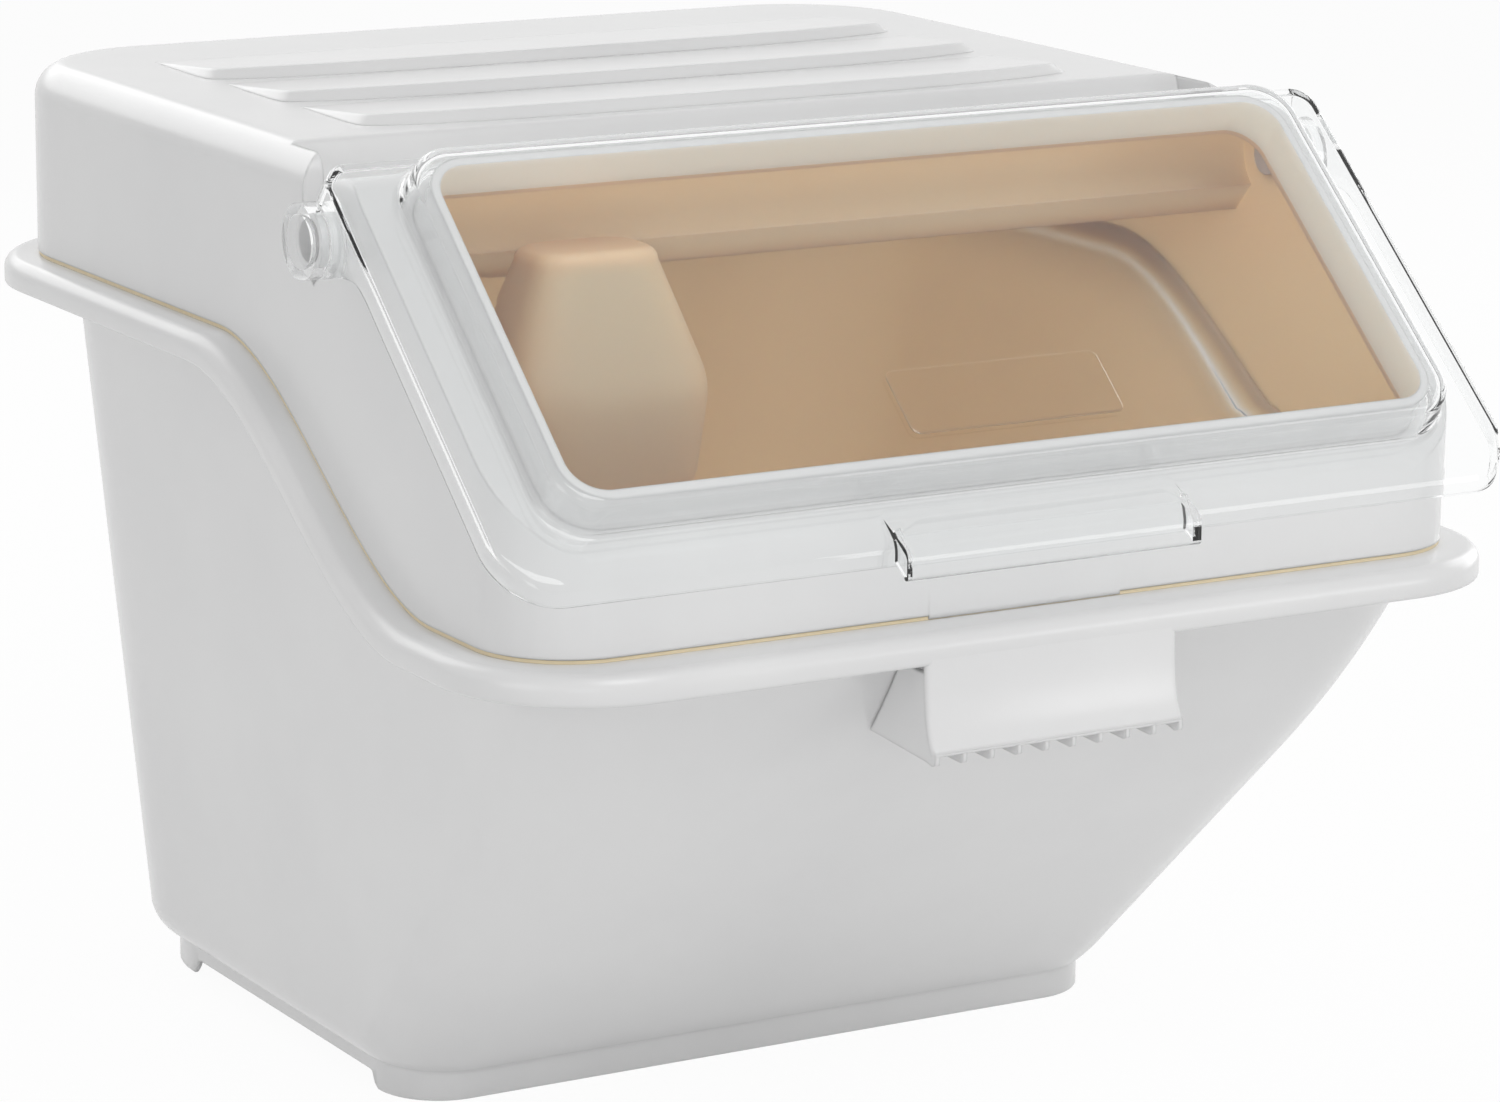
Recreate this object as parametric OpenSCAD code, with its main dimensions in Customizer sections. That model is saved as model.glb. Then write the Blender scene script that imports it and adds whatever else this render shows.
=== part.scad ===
// Shelf ingredient bin: tub with a stepped rim, lift-off hood, hinged clear window lid and a scoop

/* [Rim] */
// Width over the rim lip
rim_w = 484; // [480:1:486]
// Front edge of the rim lip along Y
rim_front = -272; // [-274:1:-270]
// Rear edge of the rim lip along Y
rim_rear = 279; // [276:1:284]
// Height of the rim shelf at the front
rim_low_z = 242; // [238:1:244]
// Rise of the rim shelf from the front to the rear
rise_h = 87.5; // [78:0.5:94]
// Distance from the rim's front to where it starts to rise
rise_from = 98; // [92:1:107]
// Length over which the rim rises
rise_len = 194; // [184:1:214]
// Depth of the turned-down lip
lip_h = 12.5; // [9:0.5:15]
// Thickness of the lip and the shelf
lip_t = 3; // [2.4:0.1:3.4]
// Rounding of the lip's upper edge
lip_r = 6; // [4:0.5:7]
// Corner radius of the rim at the front
rim_front_r = 62; // [56:1:66]
// Corner radius of the rim at the rear
rim_rear_r = 80; // [76:1:86]
// Height of the locating bead above the shelf
bead_h = 8; // [5:0.5:10]
// Thickness of the locating bead
bead_t = 3; // [2:0.5:3.5]

/* [Tub] */
// Thickness of the tub wall
tub_wall = 3; // [2.5:0.1:3.5]
// Setback of the tub's side from the rim, extended down to the floor line
tub_side_in = 58; // [55:1:62]
// Widening of the tub's half-width per unit of height
tub_flare_share = 0.104; // [0.09:0.002:0.108]
// Setback of the tub's front from the rim's front
tub_front_in = 19.5; // [18:0.5:21]
// Run of the upper front panel back per unit of drop
upper_run_share = 0.53; // [0.4:0.01:0.6]
// Run of the lower front panel back per unit of drop
lower_run_share = 1.006; // [0.98:0.002:1.02]
// Length of the tub at the floor line
tub_floor = 287; // [283:1:293]
// Softness of the bend between the two front panels
front_blend = 24; // [10:1:30]
// Setback of the tub's rear from the rim's rear
tub_rear_in = 32; // [29:1:37]
// Corner radius of the tub wall at the front
tub_front_r = 42.5; // [38:0.5:46]
// Corner radius of the tub wall at the rear
tub_rear_r = 72; // [64:1:78]
// Rounding of the tub's lower edge
tub_edge_r = 17; // [14:1:20]
// Height of the plinth
plinth_h = 13; // [11:0.5:15]
// Setback of the plinth's side from the tub's floor line
plinth_in = 8; // [7:1:12]
// Reach of the plinth in front of the tub's floor line
plinth_front_out = 11; // [6:0.5:11]
// Setback of the plinth's rear from the tub's rear
plinth_rear_in = 19; // [18:1:25]
// Corner radius of the plinth at the front
plinth_r = 30; // [26:1:36]
// Corner radius of the plinth at the rear
plinth_rear_r = 57; // [56:1:66]
// Rise of the skirt between the feet
foot_rise = 7; // [3:0.5:9]
// Length of the front foot
foot_front_len = 31; // [31:1:47]
// Length of the rear foot
foot_rear_len = 60; // [58:1:78]

/* [Grip] */
// Half-width of the front grip
grip_half = 59; // [52:1:64]
// Reach of the grip's lower edge in front of the rim
grip_reach = 7; // [4:0.5:7]
// Drop of the grip's lower edge below the rim shelf
grip_drop = 48; // [44:1:52]
// Thickness of the grip's face
grip_t = 3; // [2.4:0.1:4]
// Thickness of each rib behind the face
grip_rib_t = 2.6; // [1.8:0.1:4]
// Ribs behind the face
grip_ribs = 10; // [6:1:11]
// Overhang of the ribs below the face
grip_rib_drop = 4; // [3:0.5:8]
// Depth of the ribs behind the face
grip_rib_d = 16; // [10:1:18]

/* [Seal] */
// Thickness of the seal strip
seal_t = 1.5; // [1:0.1:2]
// Inset of the seal's edge from the hood's outer face
seal_inset = 0.5; // [0.4:0.1:0.8]

/* [Hood] */
// Width of the rim shelf outside the hood at the sides
shelf_side = 15.5; // [15:0.5:16]
// Width of the rim shelf in front of the hood
shelf_front = 21.3; // [20.5:0.1:22]
// Width of the rim shelf behind the hood
shelf_rear = 11; // [9:0.5:13]
// Thickness of the hood
hood_wall = 3; // [2.6:0.1:3.2]
// Height of the top plate over the rear rim shelf
hood_rise = 85.5; // [82.5:0.5:87.5]
// Rounding of the hood's upper side and rear edges
hood_edge_r = 15; // [10:1:18]
// Rounding of the bend at the foot of the slope
brow_r = 14; // [10:1:18]
// Angle of the sloping front in degrees
slope_deg = 40.9; // [39.5:0.1:42]
// Distance of the top plate's front edge behind the hinge axis
plate_back = 64; // [60:0.5:68]
// Distance of the trough's rear foot behind the hinge axis
trough_back = 47; // [46.5:0.1:50]
// Drop of the trough's rear step below the top plate
trough_drop = 38; // [38:0.5:45]
// Depth of the trough's pocket below the rear step, where the open lid's edge turns
trough_deep = 18; // [14:1:18]
// Thickness of the shoulders at the trough ends
trough_end = 9.5; // [7.5:0.5:10.5]
// Rounding of the shoulders at the trough ends
shoulder_r = 10; // [6:1:12]
// Distance of the first wedge rib behind the top plate's front edge
rib_start = 13; // [10:1:20]
// Distance from one wedge rib to the next
rib_pitch = 75; // [72:1:80]
// Wedge ribs on the top plate
rib_count = 3; // [1:1:3]
// Setback of the wedge ribs from the hood's side
rib_side = 39.5; // [36:0.5:50]
// Height of the wedge ribs
rib_h = 5; // [3:0.5:6]
// Run of the steep front face of a rib
rib_face = 4; // [2:0.5:6]
// Length of a wedge rib
rib_len = 70; // [58:1:70]
// Set-back of a rib's front at its ends
rib_bow = 20; // [10:1:24]
// Narrowing of a rib to its rear at each end
rib_taper = 14; // [8:1:20]
// Setback of the window opening from the raised panel at the sides
window_side = 12; // [11:0.5:17]
// Setback of the window opening from the raised panel at the foot
window_foot = 11.1; // [10.5:0.1:16]
// Setback of the window opening from the raised panel at the top
window_head = 10.5; // [10.2:0.1:11.5]
// Corner radius of the window opening
window_r = 15; // [10:1:20]
// Thickness of the collar round the window
collar_t = 4; // [3:0.1:4]
// Height of the collar's edge over the slope
collar_h = 17.5; // [13.2:0.1:18.2]
// Half-width of the tongue at the hood's front edge
tongue_half = 45.3; // [38:0.1:50]
// Reach of the tongue over the rim shelf
tongue_reach = 0.8; // [0.5:0.1:2]
// Height of the tongue
tongue_h = 9; // [6:0.5:12]

/* [Hinge] */
// Distance of the hinge axis behind the hood's front
hinge_back = 154.7; // [153.7:0.1:155.2]
// Drop of the hinge axis below the top plate
hinge_drop = 29.5; // [29:0.1:30]
// Radius of the hood's knuckle about the axis
knuckle_r = 22.8; // [22:0.1:22.8]
// Width of the slot behind the knuckle
slot_gap = 11; // [10.7:0.1:12.2]
// Lower end of the slot in degrees
slot_deg = -43; // [-46:1:-42]
// Radius of the hinge pin
pin_r = 11; // [9:0.1:11.5]
// Running clearance of the lid on its pins
pin_gap = 0.06; // [0.03:0.01:0.1]
// Reach of the hinge pin beside the lid's flange
pin_end = 1.8; // [0:0.1:2.8]
// Depth of the hollow in the end of a pin
pin_hollow = 8; // [4:0.5:10]
// Wall of the hollow pin
pin_wall = 2.4; // [1.5:0.1:3]
// Radius of the pin's spigot in the hood wall
spigot_r = 6; // [4:0.1:7]
// Radius of the head on the inner end of a pin
head_r = 8.5; // [7.5:0.1:9]
// Thickness of the head on the inner end of a pin
head_t = 2.5; // [1.5:0.1:3.5]

/* [Lid] */
// Reach of the lid beside the hood
lid_side = 12.2; // [10.5:0.1:13]
// Thickness of the lid
lid_t = 3; // [2.4:0.1:3]
// Gap between the lid's margin and the slope
lid_gap = 2.5; // [2:0.1:3]
// Top edge of the lid up the slope from the hinge
lid_top = 15; // [12:0.5:15]
// Reach of the lid's apron in front of the hood
apron_out = 12.3; // [11.3:0.5:14.3]
// Height of the apron's lower edge over the rim shelf
apron_rise = 27; // [22:0.5:30]
// Rounding of the bend above the apron
bend_r = 10; // [8:0.5:13]
// Depth of the side flanges
flange_h = 10.6; // [8:0.1:12]
// Width of the lid's margin at the sides
panel_side = 25.7; // [23.7:0.5:27.7]
// Width of the lid's margin at the foot
panel_foot = 20.43; // [19.5:0.1:21]
// Width of the lid's margin at the top
panel_head = 6; // [5:0.1:6.5]
// Corner radius of the raised panel
panel_r = 21; // [16:1:26]
// Gap between the collar's edge and the raised panel
panel_gap = 2; // [1.5:0.1:3]
// Outer radius of the hinge bosses
boss_r = 15.5; // [14:0.1:16.5]
// Running gap between the hood and a hinge boss
boss_gap = 2.5; // [1.5:0.5:3.5]
// Reach of a hinge boss beside the lid
boss_end = 5.8; // [3.3:0.5:7.3]
// Half-width of the lid's pull
pull_half = 69; // [60:1:75]
// Reach of the pull in front of the apron
pull_out = 10; // [7:0.5:12]
// Height of the pull's lip
pull_lip = 11; // [8:0.5:13]
// Drop of the pull's lip below the apron
pull_drop = 4; // [1:0.5:6]
// Half-width of the bare plate on the raised panel
badge_half = 50; // [40:1:60]
// Half-height of the bare plate along the slope
badge_half_h = 16; // [10:1:18]
// Distance of the bare plate's middle from the raised panel's foot
badge_foot = 34; // [30:1:46]
// Height of the bare plate
badge_t = 0.8; // [0.4:0.1:1.2]
// Corner radius of the bare plate
badge_r = 4; // [2:0.5:6]

/* [Scoop] */
// Distance of the scoop's middle from the hood's inner side
scoop_side = 96.5; // [91.5:1:105.5]
// Distance of the scoop's middle in front of the hinge axis
scoop_ahead = 20; // [18:1:26]
// Height of the scoop below its widest line
scoop_skirt = 46; // [43:1:49]
// Height of the scoop above its widest line
scoop_cone = 56; // [51:1:62]
// Drop of the scoop's closed end below the hinge axis
scoop_drop = 8.5; // [5.5:1:15.5]
// Half-width of the mouth
scoop_low_half = 43; // [38:0.5:46]
// Half-width at the widest line
scoop_mid_half = 49; // [44:0.5:52]
// Half-width of the closed end
scoop_top_half = 20; // [16:0.5:26]
// Depth of the scoop as a share of its width
scoop_depth_share = 0.66; // [0.55:0.01:0.72]
// Thickness of the scoop
scoop_wall = 2.4; // [1.8:0.1:3]
// Rounding of the closed end
scoop_cap_r = 6; // [4:0.5:8]
// Width of the scoop's handle
handle_w = 18; // [12:0.5:24]
// Thickness of the scoop's handle
handle_t = 6; // [4:0.5:8]
// Reach of the handle behind the scoop
handle_reach = 58; // [52:1:64]
// Drop of the handle below the scoop's closed end
handle_drop = 40; // [38:1:46]
// Height of the handle
handle_h = 50; // [40:1:54]

/* [Hook] */
// Width of the hook's arm
hook_w = 16; // [10:1:20]
// Thickness of the hook's arm
hook_t = 6; // [4:0.5:8]
// Distance of the hook's drop leg from the hood's inner side
hook_out = 30.5; // [27.5:0.5:33.5]
// Drop of the hook's wall plate below the scoop's closed end
hook_drop = 31; // [25:1:41]
// Height of the hook's wall plate
hook_h = 46; // [40:1:50]
// Half-width of the hook's wall plate
hook_half = 20; // [14:1:24]
// Radius of the peg inside the scoop
peg_r = 8; // [5:0.5:10]
// Length of the peg inside the scoop
peg_len = 34; // [20:1:40]

/* [Hidden] */
// Rest clearance between pieces that lift apart
rest_gap = 0.3;
// Clearance between pieces that stay together
seat_gap = 0.1;
// Clearance between the hood wall and the locating bead
bead_gap = 1;
// Overrun of cuts
cut = 1;
// Small overlap that joins the solids of one piece
join = 0.5;
// Steps along the rising rim
rise_steps = 22;
// Steps round a corner
corner_steps = 7;
// Steps along a front or rear edge
edge_steps = 1;
// Facets of round details
$fn = 64;

// Half-width over the rim lip
rim_half = rim_w / 2;
// Height of the rim shelf at the rear
rim_high_z = rim_low_z + rise_h;
// Places of the tub and its plinth
tub_half_low = rim_half - tub_side_in;
tub_front = rim_front + tub_front_in;
tub_rear = rim_rear - tub_rear_in;
tub_toe = tub_rear - tub_floor;
rise_start = rim_front + rise_from;
rise_end = rise_start + rise_len;
plinth_half = tub_half_low - plinth_in;
plinth_front = tub_toe - plinth_front_out;
plinth_rear = tub_rear - plinth_rear_in;
foot_front_y = plinth_front + foot_front_len;
foot_rear_y = plinth_rear - foot_rear_len;
grip_low_z = rim_low_z - grip_drop;

// Places of the hood and its hinge
hood_half = rim_half - shelf_side;
hood_front = rim_front + shelf_front;
hood_rear = rim_rear - shelf_rear;
plate_z = rim_high_z + hood_rise;
hinge_y = hood_front + hinge_back;
hinge_z = plate_z - hinge_drop;
slot_r = knuckle_r + slot_gap;
plate_front = hinge_y + plate_back;
trough_foot_y = hinge_y + trough_back;
trough_foot_z = plate_z - trough_drop;
trough_floor_z = trough_foot_z - trough_deep;
trough_half = hood_half - trough_end;
rib_half = hood_half - rib_side;
rib_ys = [for (k = [0:rib_count - 1]) plate_front + rib_start + rib_pitch * k];

// Places of the lid and the window
lid_half = hood_half + lid_side;
apron_y = hood_front - apron_out;
apron_z = rim_low_z + apron_rise;
pull_y = apron_y - pull_out;
pull_z = apron_z - pull_drop;
boss_in = hood_half + boss_gap;
boss_out = lid_half + boss_end;
panel_half = lid_half - panel_side;
panel_high = lid_top - panel_head;
collar_top = knuckle_r + collar_h;
// Heights of the lid's margin and panel over the hinge axis, square to the slope
margin_in = knuckle_r + lid_gap;
margin_out = margin_in + lid_t;
panel_in = collar_top + panel_gap;
panel_out = panel_in + lid_t;
lid_foot = (apron_y - hinge_y + margin_out * sin(slope_deg)) / cos(slope_deg);
panel_low = lid_foot + panel_foot;
badge_mid = panel_low + badge_foot;
window_half = panel_half - window_side;
window_low = panel_low + window_foot;
window_high = panel_high - window_head;

// Places of the scoop and its hook
scoop_x = hood_wall - hood_half + scoop_side;
scoop_y = hinge_y - scoop_ahead;
scoop_top_z = hinge_z - scoop_drop;
scoop_mid_z = scoop_top_z - scoop_cone;
scoop_low_z = scoop_mid_z - scoop_skirt;
handle_high_z = scoop_top_z - handle_drop;
handle_low_z = handle_high_z - handle_h;
hook_leg_x = hood_wall - hood_half + hook_out;
hook_high_z = scoop_top_z - hook_drop;
hook_low_z = hook_high_z - hook_h;

// Ends of the straight rim sides along Y
side_front = rim_front + rim_front_r;
side_rear = rim_rear - rim_rear_r;
// Stations along a straight side and their shares of its length
side_ys = concat(
    [side_front],
    [for (k = [0:rise_steps]) mix(rise_start, rise_end, k / rise_steps)],
    [(rise_end + side_rear) / 2, side_rear]
);
side_shares = [for (y = side_ys) (y - side_front) / (side_rear - side_front)];
side_steps = len(side_shares) - 1;
// Running counts of the points round an outline
count_1 = edge_steps;
count_2 = count_1 + corner_steps;
count_3 = count_2 + side_steps;
count_4 = count_3 + corner_steps;
count_5 = count_4 + edge_steps;
count_6 = count_5 + corner_steps;
count_7 = count_6 + side_steps;
outline_count = count_7 + corner_steps;
// Outlines as half-width, front, rear, front radius and rear radius
rim_line = [rim_half, rim_front, rim_rear, rim_front_r, rim_rear_r];
hood_line = [hood_half, hood_front, hood_rear, side_front - hood_front, hood_rear - side_rear];
plinth_line = [plinth_half, plinth_front, plinth_rear, plinth_r, plinth_rear_r];
bead_line = inset_line(hood_line, hood_wall + bead_gap);
// Foot of the tub's walls above the rounded lower edge
wall_foot_z = plinth_h + tub_edge_r;
// Height shares of the wall loops outside and inside
wall_out_shares = [0, 0.3, 0.55, 0.7, 0.78, 0.86, 0.94, 1];
wall_in_shares = [1, 0.9, 0.8, 0.7, 0.5, 0];
// Shares of a rib's half-width along its front
rib_shares = [-1, -0.95, -0.88, -0.8, -0.7, -0.55, -0.3, 0.3, 0.55, 0.7, 0.8, 0.88, 0.95, 1];
// Points round the scoop
scoop_count = 40;
// Roundness of the scoop's cross-section
scoop_power_share = 0.55;

function mix(a, b, t) = a + (b - a) * t;
function ease(t) = let (c = min(max(t, 0), 1)) c * c * (3 - 2 * c);
function rim_z(y) = mix(rim_low_z, rim_high_z, ease((y - rise_start) / (rise_end - rise_start)));
function arc(c, r, from, to, n) =
    [for (k = [0:n]) let (a = mix(from, to, k / n)) [c.x + r * cos(a), c.y + r * sin(a)]];
function inset_line(o, d) = [o[0] - d, o[1] + d, o[2] - d, o[3] - d, o[4] - d];

// Point i of an outline, anticlockwise from the left end of the front edge
function outline_at(i, o) =
    let (half = o[0], front = o[1], rear = o[2], rf = o[3], rr = o[4])
    i < count_1 ? [mix(rf - half, half - rf, i / edge_steps), front] :
    i < count_2 ? corner_at([half - rf, front + rf], rf, -90, i - count_1) :
    i < count_3 ? [half, mix(front + rf, rear - rr, side_shares[i - count_2])] :
    i < count_4 ? corner_at([half - rr, rear - rr], rr, 0, i - count_3) :
    i < count_5 ? [mix(half - rr, rr - half, (i - count_4) / edge_steps), rear] :
    i < count_6 ? corner_at([rr - half, rear - rr], rr, 90, i - count_5) :
    i < count_7 ? [-half, mix(front + rf, rear - rr, side_shares[side_steps - i + count_6])] :
    corner_at([rf - half, front + rf], rf, 180, i - count_7);
function corner_at(c, r, start, k) =
    let (a = start + 90 * k / corner_steps) [c.x + r * cos(a), c.y + r * sin(a)];
function outline(o) = [for (i = [0:outline_count - 1]) outline_at(i, o)];

// Loops of points at one height, along the rim and on the tub wall
function flat_loop(o, z) = [for (p = outline(o)) [p.x, p.y, z]];
function rim_loop(o, dz) = [for (p = outline(o)) [p.x, p.y, rim_z(p.y) + dz]];
function foot_loop(o) = [for (p = outline(o)) [p.x, p.y, foot_z(p)]];
function foot_z(p) = abs(p.x) < plinth_half - plinth_r ? 0 :
    p.y > foot_front_y && p.y < foot_rear_y ? foot_rise : 0;
function front_at(z) =
    let (a = tub_front + (rim_low_z - lip_h - z) * upper_run_share)
    let (b = tub_toe - z * lower_run_share)
    let (h = max(front_blend - abs(a - b), 0))
    max(max(a, b) + h * h / front_blend / 4, tub_front);
function wall_line(z, d) = inset_line(
    [tub_half_low + tub_flare_share * z, front_at(z), tub_rear, tub_front_r, tub_rear_r], d);
function wall_loop(t, d) = [for (i = [0:outline_count - 1])
    let (y = outline_at(i, wall_line(rim_high_z, d)).y)
    let (z = mix(wall_foot_z, rim_z(y) - lip_t, t))
    let (p = outline_at(i, wall_line(z, d)))
    [p.x, p.y, z]];
function edge_line(z, d) =
    let (o = wall_line(wall_foot_z, d))
    [o[0], front_at(z), o[2], o[3], o[4]];
function edge_loop(a, d) =
    let (r = tub_edge_r - d)
    let (z = wall_foot_z - r * cos(a))
    let (o = edge_line(z, d + r * (1 - sin(a))))
    flat_loop([o[0], o[1] + d, o[2], o[3], o[4]], z);

// Closed skin over a stack of loops, from the cap below to the cap above
module skin(loops) {
    n = len(loops[0]);
    m = len(loops);
    polyhedron(
        points = [for (l = loops) each l],
        faces = concat(
            [[for (i = [0:n - 1]) i]],
            [for (k = [0:m - 2]) for (i = [0:n - 1]) each quad(k * n, (k + 1) * n, i, (i + 1) % n)],
            [[for (i = [n - 1:-1:0]) (m - 1) * n + i]]
        )
    );
}

// Closed skin over loops that come back to the first
module ring_skin(loops) {
    n = len(loops[0]);
    m = len(loops);
    polyhedron(
        points = [for (l = loops) each l],
        faces = [for (k = [0:m - 1]) for (i = [0:n - 1])
            each quad(k * n, (k + 1) % m * n, i, (i + 1) % n)]
    );
}
function quad(a, b, i, j) = [[a + i, b + i, b + j], [a + i, b + j, a + j]];

// Profile in Y and Z drawn out along X
module along_x(width) {
    rotate([90, 0, 90])
        translate([0, 0, -width / 2])
            linear_extrude(width)
                children();
}

// Space with X across, Y up the slope and Z square to the slope, on the hinge axis
module on_slope() {
    translate([0, hinge_y, hinge_z])
        rotate([slope_deg, 0, 0])
            children();
}

// Rounded rectangle from one corner to the other
module rounded(low, high, r) {
    translate([low.x + r, low.y])
        square([high.x - low.x - 2 * r, high.y - low.y]);
    translate([low.x, low.y + r])
        square([high.x - low.x, high.y - low.y - 2 * r]);
    for (x = [low.x + r, high.x - r])
        for (y = [low.y + r, high.y - r])
            translate([x, y])
                circle(r);
}

module tub() {
    color([0.93, 0.93, 0.92])
        skin(concat(
            [
                flat_loop(inset_line(plinth_line, tub_wall), plinth_h),
                foot_loop(inset_line(plinth_line, tub_wall)),
                foot_loop(plinth_line),
                flat_loop(plinth_line, plinth_h)
            ],
            [for (a = [20, 40, 65]) edge_loop(a, 0)],
            [for (t = wall_out_shares) wall_loop(t, 0)],
            [
                rim_loop(inset_line(rim_line, lip_t), -lip_t - lip_r / 2),
                rim_loop(inset_line(rim_line, lip_t), -lip_h),
                rim_loop(rim_line, -lip_h)
            ],
            [for (a = [0, 30, 60, 90])
                rim_loop(inset_line(rim_line, lip_r * (1 - cos(a))), -lip_r * (1 - sin(a)))],
            [
                rim_loop(bead_line, 0),
                rim_loop(bead_line, bead_h),
                rim_loop(inset_line(bead_line, bead_t), bead_h),
                rim_loop(inset_line(bead_line, bead_t), 0)
            ],
            [for (t = wall_in_shares) wall_loop(t, tub_wall)],
            [for (a = [60, 30, 0]) edge_loop(a, tub_wall)]
        ));
}

module rim_seal() {
    outer = inset_line(hood_line, seal_inset);
    inner = inset_line(hood_line, hood_wall - seal_inset);
    color([0.76, 0.62, 0.46])
        ring_skin([
            rim_loop(outer, seat_gap),
            rim_loop(outer, seal_t),
            rim_loop(inner, seal_t),
            rim_loop(inner, seat_gap)
        ]);
}

// Side view of the grip's face
module grip_face() {
    top = rim_low_z - lip_h - seat_gap;
    mid = mix(top, grip_low_z, 0.7);
    polygon([
        [rim_front, top],
        [rim_front - grip_reach * 0.3, mid],
        [rim_front - grip_reach, grip_low_z],
        [rim_front - grip_reach + grip_t, grip_low_z],
        [rim_front - grip_reach * 0.3 + grip_t, mid],
        [rim_front + grip_t, top]
    ]);
}

// Side view of a rib from the face back to the given depth
module grip_web(depth, low) {
    top = rim_low_z - lip_h - seat_gap;
    nose = rim_low_z - lip_t - seat_gap;
    back = rim_front + depth;
    polygon([
        [rim_front + join, top],
        [rim_front + lip_t + rest_gap, top],
        [rim_front + lip_t + rest_gap, nose - lip_r],
        [rim_front + lip_t * 2, nose - lip_r],
        [back, top - lip_t],
        [back, low],
        [rim_front - grip_reach * 0.3 + join, low],
        [rim_front - grip_reach * 0.3 + join, mix(top, grip_low_z, 0.7)]
    ]);
}

// Side view of an end cheek, which follows the tub's front
module grip_cheek() {
    top = rim_low_z - lip_h - lip_t;
    polygon([
        [rim_front + join, top],
        for (t = [0, 0.25, 0.5, 0.75, 1]) let (z = mix(top, grip_low_z, t)) [front_at(z) - cut, z],
        [rim_front - grip_reach * 0.3, grip_low_z]
    ]);
}

module front_grip() {
    pitch = (grip_half * 2 - grip_rib_t) / (grip_ribs - 1);
    color([0.93, 0.93, 0.92])
        union() {
            along_x(grip_half * 2)
                grip_face();
            for (k = [1:grip_ribs - 2])
                translate([(k - (grip_ribs - 1) / 2) * pitch, 0, 0])
                    along_x(grip_rib_t)
                        grip_web(grip_rib_d, grip_low_z - grip_rib_drop);
            for (side = [-1, 1])
                translate([side * (grip_half - grip_rib_t / 2), 0, 0])
                    along_x(grip_rib_t) {
                        grip_web(grip_rib_d, grip_low_z - grip_rib_drop);
                        grip_cheek();
                    }
        }
}

// Side view of the hood, set in by d, down to the rim line or to a flat floor
function hood_side(d, open) =
    let (r = knuckle_r - d)
    let (brow = [hood_front + brow_r, slope_z(hood_front + brow_r, knuckle_r - brow_r)])
    let (shoulder = hinge_y + slot_r)
    let (down = rim_low_z - lip_h)
    concat(
        [[hood_front + d, open ? down : edge_z(hood_front)]],
        arc(brow, brow_r - d, 180, 90 + slope_deg, 5),
        arc([hinge_y, hinge_z], r, 90 + slope_deg, slot_end(d), 18),
        arc([hinge_y, hinge_z], slot_r + d, slot_end(d), 0, 8),
        arc([shoulder + shoulder_r, plate_z - shoulder_r], shoulder_r - d, 180, 90, 5),
        arc([hood_rear - hood_edge_r, plate_z - hood_edge_r], hood_edge_r - d, 90, 0, 5),
        [[hood_rear - d, open ? down : edge_z(hood_rear)]],
        open ? [] : [for (k = [len(side_ys) - 1:-1:0]) [side_ys[k], edge_z(side_ys[k])]]
    );
// Lower end of the slot in degrees on the hood, set in by d
function slot_end(d) = d > 0 ? slot_deg - asin(d / slot_r) : slot_deg;
function edge_z(y) = rim_z(y) + seal_t + rest_gap;
// Height of the slope at the given distance over the hinge axis
function slope_z(y, over) = hinge_z + (over + (y - hinge_y) * sin(slope_deg)) / cos(slope_deg);

// Front view of the hood with its rounded upper edges
module hood_face(d) {
    half = hood_half - d + seat_gap;
    high = plate_z - d + seat_gap;
    r = hood_edge_r - d;
    polygon(concat(
        [[-half, 0], [half, 0]],
        arc([half - r, high - r], r, 0, 90, 6),
        arc([r - half, high - r], r, 90, 180, 6)
    ));
}

// Block of the hood, set in by d, with the deep part of the trough taken out
module hood_block(d, open) {
    difference() {
        intersection() {
            along_x(rim_w)
                polygon(hood_side(d, open));
            linear_extrude(plate_z + rim_w)
                polygon(outline(inset_line(hood_line, d)));
            rotate([90, 0, 0])
                translate([0, 0, -rim_rear])
                    linear_extrude(rim_rear - rim_front)
                        hood_face(d);
        }
        along_x((trough_half + d) * 2)
            polygon(concat(
                arc([hinge_y, hinge_z], slot_r + d - cut, 0, slot_end(d), 8),
                [
                    [trough_foot_y + d, trough_floor_z - d],
                    [trough_foot_y + d, trough_foot_z],
                    [plate_front + d, plate_z + cut],
                    [hinge_y + slot_r + d - cut, plate_z + cut]
                ]
            ));
    }
}

// Wedge rib with its steep face at the given line
module wedge_rib(y) {
    intersection() {
        along_x(rib_half * 2)
            polygon([
                [y - rib_face, plate_z - join],
                [y, plate_z + rib_h],
                [y + rib_len, plate_z],
                [y + rib_len, plate_z - join]
            ]);
        linear_extrude(plate_z + rib_half)
            polygon(concat(
                [for (t = rib_shares) [rib_half * t, y - rib_face + rib_bow * pow(abs(t), 4)]],
                [[rib_half - rib_taper, y + rib_len], [rib_taper - rib_half, y + rib_len]]
            ));
    }
}

module window_shape(d) {
    rounded([-window_half - d, window_low - d], [window_half + d, window_high + d], window_r + d);
}

module hood() {
    color([0.93, 0.93, 0.92])
        difference() {
            union() {
                difference() {
                    hood_block(0, false);
                    hood_block(hood_wall, true);
                }
                for (y = rib_ys)
                    wedge_rib(y);
                on_slope()
                    translate([0, 0, knuckle_r - hood_wall])
                        linear_extrude(collar_top - knuckle_r + hood_wall)
                            difference() {
                                window_shape(collar_t);
                                window_shape(0);
                            }
                translate([-tongue_half, hood_front - tongue_reach, edge_z(hood_front) - seal_t])
                    cube([tongue_half * 2, tongue_reach + seal_inset - seat_gap, tongue_h]);
            }
            on_slope()
                linear_extrude(collar_top + cut)
                    window_shape(0);
            for (side = [-1, 1])
                translate([side * (hood_half - hood_wall / 2), hinge_y, hinge_z])
                    rotate([0, 90, 0])
                        cylinder(h = hood_wall + cut * 2, r = spigot_r + seat_gap, center = true);
        }
}

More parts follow.
